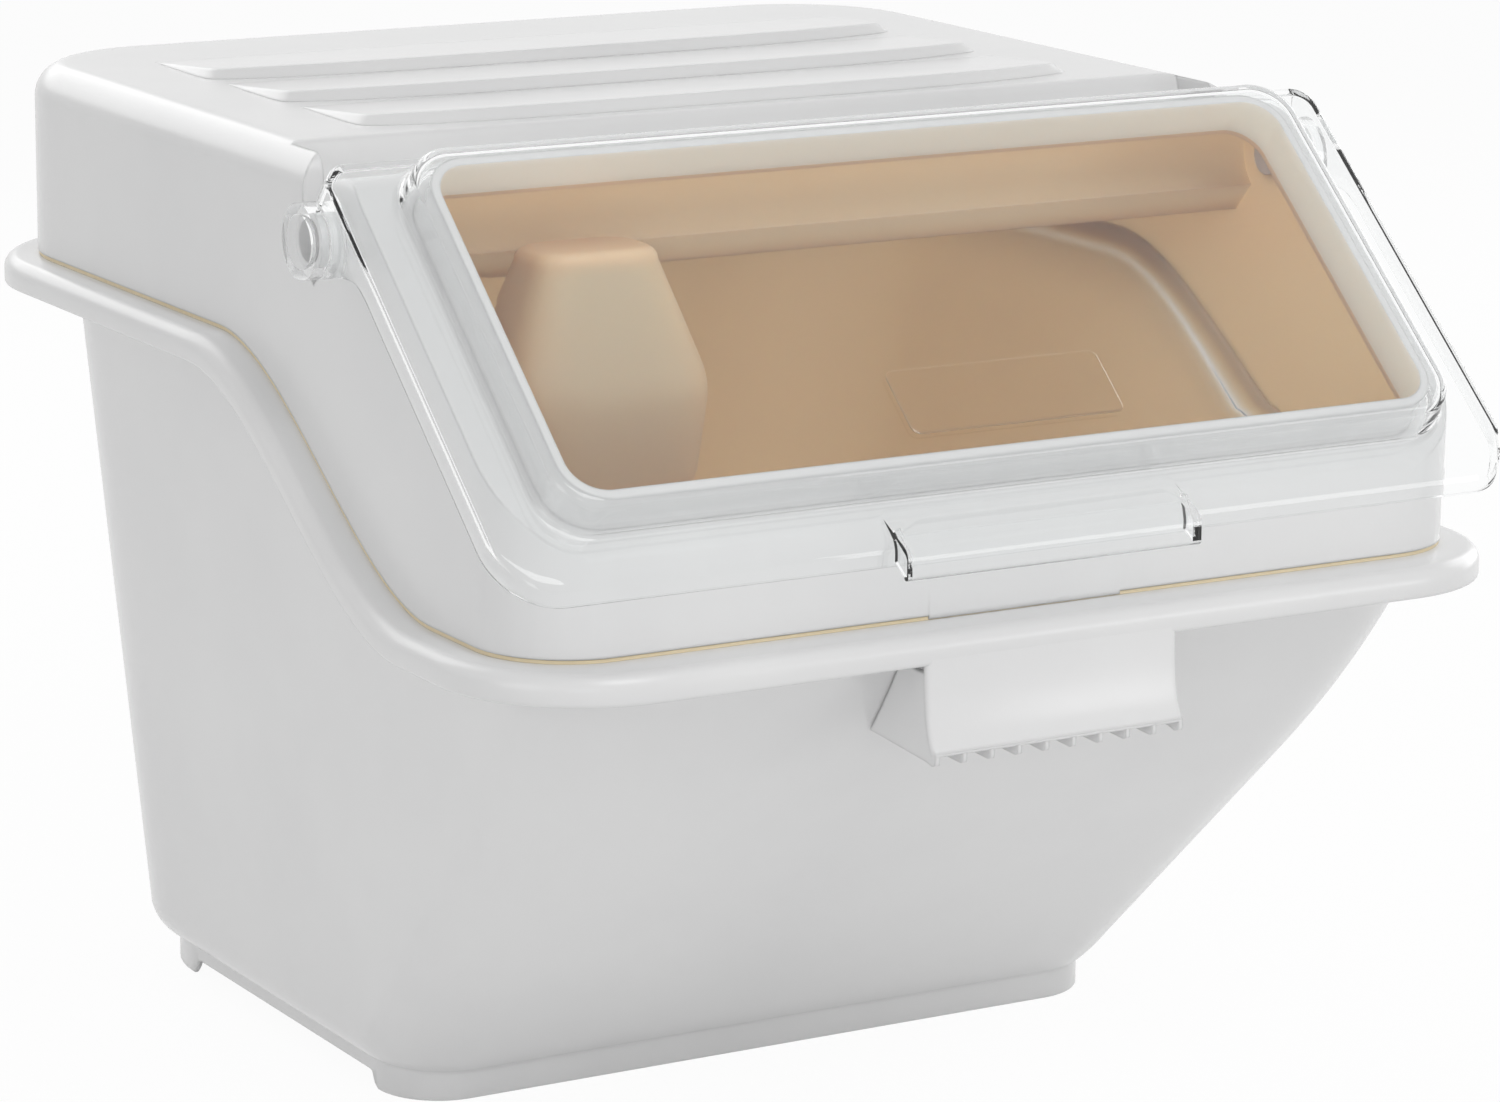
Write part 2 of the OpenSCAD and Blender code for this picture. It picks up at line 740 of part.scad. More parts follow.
// Hinge pin with its inner head at the origin side, pointing along Z
module hinge_pin() {
    wall_in = hood_half - hood_wall;
    tip = lid_half + pin_end;
    rotate([0, 90, 0])
        rotate_extrude()
            polygon([
                [0, wall_in - head_t],
                [head_r, wall_in - head_t],
                [head_r, wall_in],
                [spigot_r, wall_in],
                [spigot_r, hood_half],
                [pin_r, hood_half],
                [pin_r, tip],
                [pin_r - pin_wall, tip],
                [pin_r - pin_wall, tip - pin_hollow],
                [0, tip - pin_hollow]
            ]);
}

module hinge_pin_right() {
    color([0.86, 0.86, 0.85])
        translate([0, hinge_y, hinge_z])
            hinge_pin();
}

module hinge_pin_left() {
    color([0.86, 0.86, 0.85])
        translate([0, hinge_y, hinge_z])
            mirror([1, 0, 0])
                hinge_pin();
}

// Point over the hinge axis, from its place up the slope and square to it
function slope_at(up, over) = [
    hinge_y + up * cos(slope_deg) - over * sin(slope_deg),
    hinge_z + up * sin(slope_deg) + over * cos(slope_deg)
];

// Side view of the lid's sheet with its apron, of the given depth
module lid_side(depth) {
    c = [apron_y + bend_r, slope_z(apron_y + bend_r, margin_out - bend_r)];
    inner_y = apron_y + depth;
    low = slope_z(inner_y, margin_out - depth);
    polygon(concat(
        [slope_at(lid_top, margin_out)],
        arc(c, bend_r, 90 + slope_deg, 180, 8),
        [[apron_y, apron_z], [inner_y, apron_z]],
        depth < bend_r ? arc(c, bend_r - depth, 180, 90 + slope_deg, 8) : [[inner_y, low]],
        [slope_at(lid_top, margin_out - depth)]
    ));
}

module panel_shape(d) {
    rounded([-panel_half + d, panel_low + d], [panel_half - d, panel_high - d], panel_r - d);
}

// Side view of the pull under the lid's bend
module pull_side() {
    high = pull_z + pull_lip;
    start = apron_y + bend_r;
    start_z = slope_z(start, margin_out);
    polygon([
        [start, start_z],
        [pull_y, high],
        [pull_y, pull_z],
        [pull_y + lid_t, pull_z],
        [pull_y + lid_t, high - lid_t / 2],
        [apron_y + lid_t / 2, mix(high, start_z, 0.6) - lid_t],
        [start, start_z - lid_t]
    ]);
}

// Ear that carries a hinge boss, in the plane of a side flange
module ear_shape() {
    circle(boss_r);
    polygon([
        [-boss_r, 0],
        [boss_r, 0],
        [lid_top, margin_in + lid_t / 2],
        [-boss_r * 3, margin_in + lid_t / 2],
        [-boss_r * 2.2, margin_out - flange_h]
    ]);
}

module window_lid() {
    color([0.85, 0.9, 0.92, 0.35])
        difference() {
            union() {
                difference() {
                    along_x(lid_half * 2)
                        lid_side(lid_t);
                    on_slope()
                        linear_extrude(panel_out)
                            panel_shape(lid_t);
                }
                on_slope()
                    translate([0, 0, margin_in])
                        linear_extrude(panel_out - margin_in)
                            difference() {
                                panel_shape(0);
                                panel_shape(lid_t);
                            }
                on_slope()
                    translate([0, 0, panel_in])
                        linear_extrude(lid_t)
                            panel_shape(lid_t / 2);
                on_slope()
                    translate([0, 0, panel_out - join])
                        linear_extrude(badge_t + join)
                            rounded([-badge_half, badge_mid - badge_half_h],
                                [badge_half, badge_mid + badge_half_h], badge_r);
                for (side = [-1, 1])
                    translate([side * (lid_half - lid_t / 2), 0, 0])
                        along_x(lid_t)
                            lid_side(flange_h);
                for (side = [-1, 1])
                    translate([side * (lid_half - lid_t / 2), 0, 0])
                        on_slope()
                            along_x(lid_t)
                                ear_shape();
                for (side = [-1, 1])
                    translate([side * (boss_in + boss_out) / 2, hinge_y, hinge_z])
                        rotate([0, 90, 0])
                            cylinder(h = boss_out - boss_in, r = boss_r, center = true);
                along_x(pull_half * 2)
                    pull_side();
                for (side = [-1, 1])
                    translate([side * (pull_half - lid_t / 2), 0, 0])
                        along_x(lid_t)
                            polygon([
                                [apron_y + lid_t / 2, apron_z + lid_t],
                                [apron_y + lid_t / 2, slope_z(apron_y + bend_r, margin_out) - lid_t],
                                [pull_y + lid_t / 2, pull_z + pull_lip - lid_t / 2],
                                [pull_y + lid_t / 2, pull_z]
                            ]);
            }
            translate([0, hinge_y, hinge_z])
                rotate([0, 90, 0])
                    cylinder(h = boss_out * 2 + cut * 2, r = pin_r + pin_gap, center = true);
        }
}

// Loop round the scoop with the given half-width at the given height
function scoop_loop(half, z) = [for (k = [0:scoop_count - 1])
    let (a = 360 * k / scoop_count)
    [
        scoop_x + half * soft(cos(a)),
        scoop_y + half * scoop_depth_share * soft(sin(a)),
        z
    ]];
function soft(v) = sign(v) * pow(abs(v), scoop_power_share);
function scoop_half_at(z) = z < scoop_mid_z ?
    mix(scoop_low_half, scoop_mid_half, (z - scoop_low_z) / (scoop_mid_z - scoop_low_z)) :
    mix(scoop_mid_half, scoop_top_half + scoop_cap_r, (z - scoop_mid_z) / (scoop_top_z - scoop_mid_z));

module scoop() {
    cap_z = scoop_top_z - scoop_cap_r;
    inside = scoop_wall / scoop_depth_share;
    bar_y = scoop_y + handle_reach - handle_t;
    color([0.92, 0.92, 0.9])
        union() {
            skin([
                scoop_loop(scoop_half_at(cap_z) - inside, cap_z),
                scoop_loop(scoop_half_at(scoop_mid_z) - inside, scoop_mid_z),
                scoop_loop(scoop_low_half - inside, scoop_low_z),
                scoop_loop(scoop_low_half, scoop_low_z),
                scoop_loop(scoop_mid_half, scoop_mid_z),
                scoop_loop(scoop_half_at(cap_z), cap_z),
                scoop_loop(scoop_half_at(cap_z) - scoop_cap_r * 0.3, scoop_top_z - scoop_cap_r * 0.3),
                scoop_loop(scoop_half_at(cap_z) - scoop_cap_r, scoop_top_z)
            ]);
            translate([scoop_x - handle_w / 2, bar_y, handle_low_z])
                cube([handle_w, handle_t, handle_high_z - handle_low_z]);
            for (z = [handle_low_z, handle_high_z - handle_t]) {
                start = scoop_y + scoop_half_at(z + handle_t) * scoop_depth_share - scoop_wall / 2;
                translate([scoop_x - handle_w / 2, start, z])
                    cube([handle_w, bar_y + handle_t - start, handle_t]);
            }
        }
}

module scoop_hook() {
    wall_x = hood_wall - hood_half;
    arm_top = scoop_low_z - rest_gap;
    leg_high = hook_low_z + hook_t;
    color([0.9, 0.9, 0.88])
        union() {
            translate([wall_x, scoop_y - hook_half, hook_low_z])
                cube([hook_t / 2, hook_half * 2, hook_high_z - hook_low_z]);
            translate([wall_x, scoop_y - hook_w / 2, hook_low_z])
                cube([hook_leg_x + hook_t - wall_x, hook_w, hook_t]);
            translate([hook_leg_x, scoop_y - hook_w / 2, arm_top - hook_t])
                cube([hook_t, hook_w, leg_high - arm_top + hook_t]);
            translate([hook_leg_x, scoop_y - hook_w / 2, arm_top - hook_t])
                cube([scoop_x - hook_leg_x, hook_w, hook_t]);
            translate([scoop_x, scoop_y, arm_top - hook_t])
                cylinder(h = hook_t + peg_len, r = peg_r);
        }
}

tub();
front_grip();
rim_seal();
hood();
hinge_pin_left();
hinge_pin_right();
window_lid();
scoop_hook();
scoop();
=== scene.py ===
import math

import bpy
import numpy as np
from mathutils import Matrix, Vector


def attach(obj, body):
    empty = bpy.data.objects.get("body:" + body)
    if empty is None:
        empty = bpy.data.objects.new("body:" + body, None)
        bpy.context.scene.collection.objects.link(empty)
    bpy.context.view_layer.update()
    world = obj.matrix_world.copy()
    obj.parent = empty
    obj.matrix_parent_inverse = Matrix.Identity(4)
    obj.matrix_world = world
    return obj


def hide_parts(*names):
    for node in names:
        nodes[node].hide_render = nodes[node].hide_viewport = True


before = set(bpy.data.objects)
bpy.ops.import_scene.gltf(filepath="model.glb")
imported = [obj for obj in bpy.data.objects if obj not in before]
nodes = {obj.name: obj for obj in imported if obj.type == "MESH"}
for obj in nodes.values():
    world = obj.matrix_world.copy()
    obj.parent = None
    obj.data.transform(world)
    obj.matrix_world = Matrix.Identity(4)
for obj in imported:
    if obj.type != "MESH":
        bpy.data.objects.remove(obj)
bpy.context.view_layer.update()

mm = 0.001  # sizes below are in millimetres
print("stage: frame loaded, nodes", len(nodes))


class Sock:  # a node socket that takes part in sums
    def __init__(self, finish, socket):
        self.finish, self.socket = finish, socket

    def math(self, operation, a, b):
        return self.finish.node("ShaderNodeMath", {"operation": operation}, {0: a, 1: b})

    def __add__(self, other):
        return self.math("ADD", self, other)

    __radd__ = __add__

    def __sub__(self, other):
        return self.math("SUBTRACT", self, other)

    def __rsub__(self, other):
        return self.math("SUBTRACT", other, self)

    def __mul__(self, other):
        return self.math("MULTIPLY", self, other)

    __rmul__ = __mul__


class Finish:  # a node tree in the making
    def __init__(self, name, tree=None):
        if tree is None:
            self.material = bpy.data.materials.new(name)
            self.material.use_nodes = True
            tree = self.material.node_tree
        self.tree = tree
        tree.nodes.clear()

    def node(self, kind, settings=None, values=None, out=0):
        made = self.tree.nodes.new(kind)
        for key, value in (settings or {}).items():
            setattr(made, key, value)
        for key, value in (values or {}).items():
            self.put(made.inputs[key], value)
        return Sock(self, made.outputs[out]) if len(made.outputs) else made

    def put(self, socket, value):
        if isinstance(value, Sock):
            self.tree.links.new(value.socket, socket)
        else:
            socket.default_value = value

    def noise(self, place, scale, detail=2.0):
        return self.node("ShaderNodeTexNoise", None,
                         {"Vector": place, "Scale": scale, "Detail": detail}, "Fac")

    def ramp(self, value, low, high):
        return self.node("ShaderNodeMapRange", {"interpolation_type": "SMOOTHSTEP"},
                         {0: value, 1: low, 2: high})

    def blend(self, factor, a, b):
        return self.node("ShaderNodeMix", {"data_type": "RGBA"}, {0: factor, 6: a, 7: b}, 2)

    def ray(self, kind):
        return self.node("ShaderNodeLightPath", None, None, kind)

    def either(self, a, b):
        return self.node("ShaderNodeMath", {"operation": "MAXIMUM"}, {0: a, 1: b})

    def shown(self):  # rays that see the pale backdrop: straight, by gloss or through glass
        bent = self.either(self.ray("Is Glossy Ray"), self.ray("Is Transmission Ray"))
        return self.either(self.ray("Is Camera Ray"), bent)

    def close(self, surface):
        self.node("ShaderNodeOutputMaterial", None, {"Surface": surface})
        return self.material


moulded = {"cloud": (9.0, 3.0), "fine": (900.0, 2.0), "from": 0.3, "to": 0.7, "deep": 0.0004, "sway": 0.08,
           "edgeSamples": 6, "ior": 1.5, "softScale": 0.012, "softRadius": (1.0, 0.9, 0.85)}


def plastic(name, colour, shade, rough, grain, edge=0.0, low=None, soft=0.0):
    f = Finish(name)
    place = f.node("ShaderNodeTexCoord", None, None, "Object")
    cloud = f.noise(place, *moulded["cloud"])
    fine = f.noise(place, *moulded["fine"])
    tone = f.blend(f.ramp(cloud, moulded["from"], moulded["to"]), shade, colour)
    if low:  # painted light: another tone towards the bottom
        height = f.node("ShaderNodeSeparateXYZ", None, {0: place}, "Z")
        tone = f.blend(f.ramp(height, low["from"], low["to"]), low["colour"], tone)
    values = {"Height": fine, "Strength": grain, "Distance": moulded["deep"]}
    if edge:
        values["Normal"] = f.node("ShaderNodeBevel", {"samples": moulded["edgeSamples"]}, {"Radius": edge})
    bump = f.node("ShaderNodeBump", None, values)
    body = f.node("ShaderNodeBsdfPrincipled", None, {
        "Base Color": tone, "Roughness": rough + moulded["sway"] * (cloud - 0.5), "Normal": bump,
        "IOR": moulded["ior"], "Subsurface Weight": soft, "Subsurface Scale": moulded["softScale"],
        "Subsurface Radius": moulded["softRadius"]})  # light comes through the thin wall
    return f.close(body)


polished = {"wave": (14.0, 1.0), "strength": 0.06, "deep": 0.002, "sway": 0.03}


def clearPlastic(name, colour, rough, ior):
    f = Finish(name)
    place = f.node("ShaderNodeTexCoord", None, None, "Object")
    wave = f.noise(place, *polished["wave"])
    bump = f.node("ShaderNodeBump", None, {"Height": wave, "Strength": polished["strength"],
                                           "Distance": polished["deep"]})
    glass = f.node("ShaderNodeBsdfPrincipled", None, {
        "Base Color": colour, "Roughness": rough + polished["sway"] * wave, "Normal": bump, "IOR": ior,
        "Transmission Weight": 1.0})
    passing = f.either(f.ray("Is Shadow Ray"), f.ray("Is Diffuse Ray"))  # light passes the lid unbent
    through = f.node("ShaderNodeBsdfTransparent", None, {"Color": colour})
    return f.close(f.node("ShaderNodeMixShader", None, {0: passing, 1: glass, 2: through}))


looks = {
    "white": {"colour": (0.80, 0.80, 0.80, 1), "shade": (0.77, 0.77, 0.772, 1), "rough": 0.24, "grain": 0.05},
    # painted light: the inside is the same white plastic, tinted tan for the warm light that comes through the
    # walls
    "inside": {"colour": (0.93, 0.63, 0.42, 1), "shade": (0.91, 0.61, 0.40, 1), "rough": 0.7, "grain": 0.05,
               # painted light: a brighter tone low on the inside
               "low": {"from": 0.31, "to": 0.36, "colour": (0.98, 0.65, 0.43, 1)}, "soft": 1.0},
    # painted light: the collar's inner wall is white plastic, tinted cream for the warm light on it
    "paintedWarmCollar": {"colour": (0.92, 0.86, 0.74, 1), "shade": (0.90, 0.84, 0.72, 1), "rough": 0.4, "grain": 0.05,
              "soft": 1.0},
    "seal": {"colour": (0.84, 0.72, 0.50, 1), "shade": (0.80, 0.68, 0.46, 1), "rough": 0.6, "grain": 0.1},
    # painted light: the scoop is pale see-through plastic, tinted tan for the warm light inside the bin
    "scoop": {"colour": (0.87, 0.58, 0.37, 1), "shade": (0.85, 0.56, 0.35, 1), "rough": 0.5, "grain": 0.05,
              "soft": 1.0},
    "pin": {"colour": (0.78, 0.78, 0.78, 1), "shade": (0.74, 0.74, 0.745, 1), "rough": 0.36, "grain": 0.05},
    "clear": {"colour": (0.985, 0.99, 0.99, 1), "rough": 0.02, "ior": 1.5},
}
white = plastic("whiteShell", edge=0.002, **looks["white"])
inside = plastic("tanPaintedLightInside", **looks["inside"])
paintedWarmCollar = plastic("creamPaintedLightCollar", **looks["paintedWarmCollar"])
sealTan = plastic("sealTan", **looks["seal"])
scoopPaintedWarm = plastic("scoopPaintedWarm", edge=0.001, **looks["scoop"])
pinWhite = plastic("pinWhite", edge=0.0008, **looks["pin"])
clear = clearPlastic("clearLid", **looks["clear"])
print("stage: finishes")


def mix(a, b, t):
    return a + (b - a) * t


def ease(t):
    c = np.clip(t, 0, 1)
    return c * c * (3 - 2 * c)


def inset(line, d):  # line: half width, front, rear, front radius, rear radius
    return (line[0] - d, line[1] + d, line[2] - d, line[3] - d, line[4] - d)


def stations(edge, corner, side):  # steps round a rounded rectangle
    leg, along = [], []
    for k, n in enumerate((edge, corner, side, corner) * 2):
        leg += [k] * n
        along += [j / n for j in range(n)]
    return np.array(leg), np.array(along)


def outline(line, way):
    half, front, rear, rf, rr = line
    leg, s = way
    a = s * math.pi / 2
    sn, cs, flat = np.sin(a), np.cos(a), 0 * s
    x = np.choose(leg, [(half - rf) * (2 * s - 1), half - rf + rf * sn, half + flat, half - rr + rr * cs,
                        (half - rr) * (1 - 2 * s), rr - half - rr * sn, flat - half, rf - half - rf * cs])
    y = np.choose(leg, [front + flat, front + rf - rf * cs, mix(front + rf, rear - rr, s),
                        rear - rr + rr * sn, rear + flat, rear - rr + rr * cs,
                        mix(rear - rr, front + rf, s), front + rf - rf * sn])
    return x, y


def stack(x, y, z):
    return np.column_stack([x, y, z + 0 * x])


def loft(loops, closed=False):
    n, m = len(loops[0]), len(loops)
    faces = []
    for k in range(m if closed else m - 1):
        a, b = k * n, (k + 1) % m * n
        faces += [(a + i, a + (i + 1) % n, b + (i + 1) % n, b + i) for i in range(n)]
    if not closed:
        faces.insert(0, tuple(range(n - 1, -1, -1)))
        faces.append(tuple((m - 1) * n + i for i in range(n)))
    return np.concatenate(loops), faces


def piece(name, shape, finishes, marks=None):
    verts, faces = shape
    mesh = bpy.data.meshes.new(name)
    mesh.from_pydata((np.asarray(verts, float) * mm).tolist(), [], faces)
    for finish in finishes:
        mesh.materials.append(finish)
    if marks is not None:
        mesh.polygons.foreach_set("material_index", np.asarray(marks, dtype=np.int32))
    mesh.polygons.foreach_set("use_smooth", np.ones(len(mesh.polygons), dtype=bool))
    mesh.update()
    made = bpy.data.objects.new(name, mesh)
    bpy.context.scene.collection.objects.link(made)
    return made


def settle(obj):
    graph = bpy.context.evaluated_depsgraph_get()
    mesh = bpy.data.meshes.new_from_object(obj.evaluated_get(graph))
    obj.modifiers.clear()
    obj.data = mesh
    return obj


def carve(obj, tool, operation):
    made = obj.modifiers.new("carve", "BOOLEAN")
    made.operation, made.solver, made.object = operation, "MANIFOLD", tool
    settle(obj)
    bpy.data.objects.remove(tool)
    return obj


def crease(obj, degrees):
    obj.data.polygons.foreach_set("use_smooth", np.ones(len(obj.data.polygons), dtype=bool))
    obj.data.set_sharp_from_angle(angle=math.radians(degrees))
    return obj


def arc(c, r, start, end, n):
    a = np.radians(np.linspace(start, end, n + 1))
    return [(c[0] + r * math.cos(v), c[1] + r * math.sin(v)) for v in a]


def prism(points, x0, x1):  # a side view drawn out across the width
    p = np.array(points)
    area = np.sum(p[:, 0] * np.roll(p[:, 1], -1) - np.roll(p[:, 0], -1) * p[:, 1])
    p = p if area > 0 else p[::-1]
    return loft([np.column_stack([x0 + 0 * p[:, 0], p]), np.column_stack([x1 + 0 * p[:, 0], p])])


def rod(x0, x1, r, centre, n=64):
    return prism(arc(centre, r, 0, 360 - 360 / n, n - 1), x0, x1)


rim = {"line": (242, -272, 279, 62, 80), "low": 242, "high": 329.5, "from": -174, "to": 20,
       "lip": 12.5, "sheet": 3, "round": 6, "roundTurns": (0, 12, 26, 40, 54, 68, 80, 90),
       "under": ((5.5, -4.6), (3.6, -5.4), (3, -6.8)),
       "lipEdge": ((3, 1.0), (2.6, 0.2), (2.1, 0), (0.9, 0), (0.3, 0.3), (0, 1.1))}
bead = {"in": 4, "outer": ((-1.5, 0), (-0.3, 0.3), (0, 1.5), (0, 7), (0.5, 7.8)),
        "inner": ((2.5, 7.8), (3, 7), (3, 1))}
hoodLine = (226.5, -250.7, 268, 40.7, 69)
slope = {"y": -96, "z": 385.5, "deg": 40.9}
sinS, cosS = math.sin(math.radians(slope["deg"])), math.cos(math.radians(slope["deg"]))


def rimZ(y):
    return mix(rim["low"], rim["high"], ease((y - rim["from"]) / (rim["to"] - rim["from"])))


def onSlope(p):
    p = np.asarray(p, float)
    return np.column_stack([p[:, 0], slope["y"] + p[:, 1] * cosS - p[:, 2] * sinS,
                            slope["z"] + p[:, 1] * sinS + p[:, 2] * cosS])


def slopeZ(y, over):
    return slope["z"] + (over + (y - slope["y"]) * sinS) / cosS


tub = {"wall": 3, "half": 184, "flare": 0.104, "front": -252.5, "upper": 0.53, "lower": 1.006, "toe": -40,
       "blend": 24, "rear": 247, "rf": 42.5, "rr": 72, "edge": 17,
       "edgeTurns": (20, 22, 26, 32, 44, 56, 68, 80), "floorTurns": (75, 60, 45, 30, 15, 0),
       "outerRows": (0.985, 44), "innerRows": (0.99, 36),
       "plinth": (176, -51, 228, 30, 57), "plinthTop": 13, "plinthUnder": ((9, 13), (3.5, 13), (3, 12.5)),
       "foot": ((3, 1), (2.6, 0.3), (2, 0), (1, 0), (0.4, 0.3), (0, 1)), "plinthEdge": ((0, 12.2), (-0.1, 13)),
       "lift": 7, "liftFrom": -20, "liftTo": 168, "liftSide": 6, "liftEnd": 5}
tubWay = stations(26, 14, 76)


def frontAt(z):
    a = tub["front"] + (rim["low"] - rim["lip"] - z) * tub["upper"]
    b = tub["toe"] - z * tub["lower"]
    h = np.maximum(tub["blend"] - np.abs(a - b), 0)
    return np.maximum(np.maximum(a, b) + h * h / tub["blend"] / 4, tub["front"])


def wallLine(z, d):
    return inset((tub["half"] + tub["flare"] * z, frontAt(z), tub["rear"], tub["rf"], tub["rr"]), d)


def wallLoop(t, d):
    y = outline(wallLine(rim["high"], d), tubWay)[1]
    z = mix(tub["plinthTop"] + tub["edge"], rimZ(y) - rim["sheet"], t)
    x, y = outline(wallLine(z, d), tubWay)
    return stack(x, y, z)


def edgeLoop(deg, d):
    a = math.radians(deg)
    r = tub["edge"] - d
    z = tub["plinthTop"] + tub["edge"] - r * math.cos(a)
    o = list(wallLine(tub["plinthTop"] + tub["edge"], d + r * (1 - math.sin(a))))
    o[1] = float(frontAt(np.array(z))) + d
    return stack(*outline(o, tubWay), z)


def flatLoop(line, z):
    return stack(*outline(line, tubWay), z)


def rimLoop(line, up):
    x, y = outline(line, tubWay)
    return stack(x, y, rimZ(y) + up)


def footLoop(line, up):
    x, y = outline(line, tubWay)
    wide = ease((np.abs(x) - (tub["plinth"][0] - tub["plinth"][3])) / tub["liftSide"])
    span = ease((y - tub["liftFrom"]) / tub["liftEnd"]) * ease((tub["liftTo"] - y) / tub["liftEnd"])
    return stack(x, y, tub["lift"] * wide * span + up)


def makeTub():
    foot, strip, wall = tub["plinth"], inset(hoodLine, bead["in"]), tub["wall"]
    (high, rows), (inHigh, inRows) = tub["outerRows"], tub["innerRows"]
    loops = [flatLoop(inset(foot, d), z) for d, z in tub["plinthUnder"]]
    loops += [footLoop(inset(foot, d), up) for d, up in tub["foot"]]
    loops += [flatLoop(inset(foot, d), z) for d, z in tub["plinthEdge"]]
    loops += [edgeLoop(a, 0) for a in tub["edgeTurns"]]
    loops += [wallLoop(t, 0) for t in np.linspace(0, high, rows)]
    loops += [wallLoop(1, 0)]
    loops += [rimLoop(inset(rim["line"], d), up) for d, up in rim["under"]]
    loops += [rimLoop(inset(rim["line"], d), up - rim["lip"]) for d, up in rim["lipEdge"]]
    r = rim["round"]
    loops += [rimLoop(inset(rim["line"], r * (1 - math.cos(a))), -r * (1 - math.sin(a)))
              for a in np.radians(rim["roundTurns"])]
    loops += [rimLoop(inset(strip, d), up) for d, up in bead["outer"]]
    first = len(loops) - 1  # the tan inside, painted warm light, starts on top of the bead
    loops += [rimLoop(inset(strip, d), up) for d, up in bead["inner"]]
    loops += [wallLoop(t, wall) for t in np.linspace(inHigh, 0, inRows)]
    loops += [edgeLoop(a, wall) for a in tub["floorTurns"]]
    n = len(loops[0])
    marks = [0] + [1 if k >= first else 0 for k in range(len(loops) - 1) for i in range(n)] + [1]
    return piece("tubShell", loft(loops), (white, inside), marks)


tubPiece = makeTub()
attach(tubPiece, "base")
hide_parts("tub")
print("stage: tub", len(tubPiece.data.polygons))


def tree(name, inputs):
    made = bpy.data.node_groups.new(name, "GeometryNodeTree")
    made.interface.new_socket("Geometry", in_out="INPUT", socket_type="NodeSocketGeometry")
    for label, kind in inputs:
        made.interface.new_socket(label, in_out="INPUT", socket_type=kind)
    made.interface.new_socket("Geometry", in_out="OUTPUT", socket_type="NodeSocketGeometry")
    g = Finish(name, made)
    source = made.nodes.new("NodeGroupInput")
    return made, g, {s.name: Sock(g, s) for s in source.outputs if s.name}


def closeTree(g, shape, material):
    solid = g.node("GeometryNodeRealizeInstances", None, {"Geometry": shape})
    done = g.node("GeometryNodeSetMaterial", None, {"Geometry": solid, "Material": material})
    g.node("NodeGroupOutput", None, {"Geometry": done})


def grow(obj, group, values):
    made = obj.modifiers.new("grow", "NODES")
    made.node_group = group
    for item in group.interface.items_tree:
        if item.item_type == "SOCKET" and item.in_out == "INPUT" and item.name in values:
            made[item.identifier] = values[item.name]
    return settle(obj)


seal = {"width": 2.0, "height": 1.4, "middle": 1.5, "lift": 0.8, "sharp": 40}


def sealTree():
    group, g, take = tree("sealStrip", (("Width", "NodeSocketFloat"), ("Height", "NodeSocketFloat"),
                                        ("Material", "NodeSocketMaterial")))
    path = g.node("GeometryNodeMeshToCurve", None, {"Mesh": take["Geometry"]})
    upright = g.node("GeometryNodeSetCurveNormal", {"mode": "Z_UP"}, {"Curve": path})
    profile = g.node("GeometryNodeCurvePrimitiveQuadrilateral", None,
                     {"Width": take["Width"], "Height": take["Height"]})
    strip = g.node("GeometryNodeCurveToMesh", None, {"Curve": upright, "Profile Curve": profile})
    closeTree(g, strip, take["Material"])
    return group


def makeSeal():
    path = rimLoop(inset(hoodLine, seal["middle"]), seal["lift"])
    mesh = bpy.data.meshes.new("rimStrip")
    n = len(path)
    mesh.from_pydata((path * mm).tolist(), [(i, (i + 1) % n) for i in range(n)], [])
    made = bpy.data.objects.new("rimStrip", mesh)
    bpy.context.scene.collection.objects.link(made)
    grow(made, sealTree(), {"Width": seal["width"] * mm, "Height": seal["height"] * mm, "Material": sealTan})
    return crease(made, seal["sharp"])


sealPiece = makeSeal()
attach(sealPiece, "base")
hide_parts("rim_seal")
print("stage: seal", len(sealPiece.data.polygons))


hood = {"wall": 3, "top": 415, "edge": 15, "edgeSteps": 11, "flatIn": 8, "brow": 14, "plateFront": -32,
        "trough": (-49, 377), "pocket": 359, "troughHalf": 217, "shoulder": 10, "knuckle": 22.8,
        "slot": 33.8, "slotDeg": -43, "window": (201, -164.9, -1.5, 15), "cornerSteps": 16,
        "collar": 4, "collarTop": 40.3, "paintedTanTo": 22.0, "lap": 0.01,
        "tongue": (45.3, 0.15, 12), "tongueSink": 1.4, "tongueIn": 0.4, "tongueRound": 0.3,
        "seat": 1.8, "spigot": 6, "holeReach": 5, "over": 30, "under": 150, "lowEnds": (200, 160),
        "plateEdge": ((-0.9, -2.1), (-0.3, -1.2), (0.5, -0.5), (1.6, -0.1), (2.6, 0.05)),
        "pocketEdge": ((-3, 0), (-0.9, 0.9), (0, 3)), "wallShares": (0.08, 0.9), "sharp": 28}
hoodFinishes = (white, inside, paintedWarmCollar)


def hoodBox(d, low):  # d: depth below the outer face
    r, line = hood["edge"] - d, inset(hoodLine, d)
    top = hood["top"] - d
    loops = [flatLoop(line, low), flatLoop(line, top - r - 1)]
    loops += [flatLoop(inset(line, r * (1 - math.cos(a))), top - r + r * math.sin(a))
              for a in np.radians(np.linspace(0, 90, hood["edgeSteps"]))]
    return loft(loops + [flatLoop(inset(line, r + hood["flatIn"]), top)])


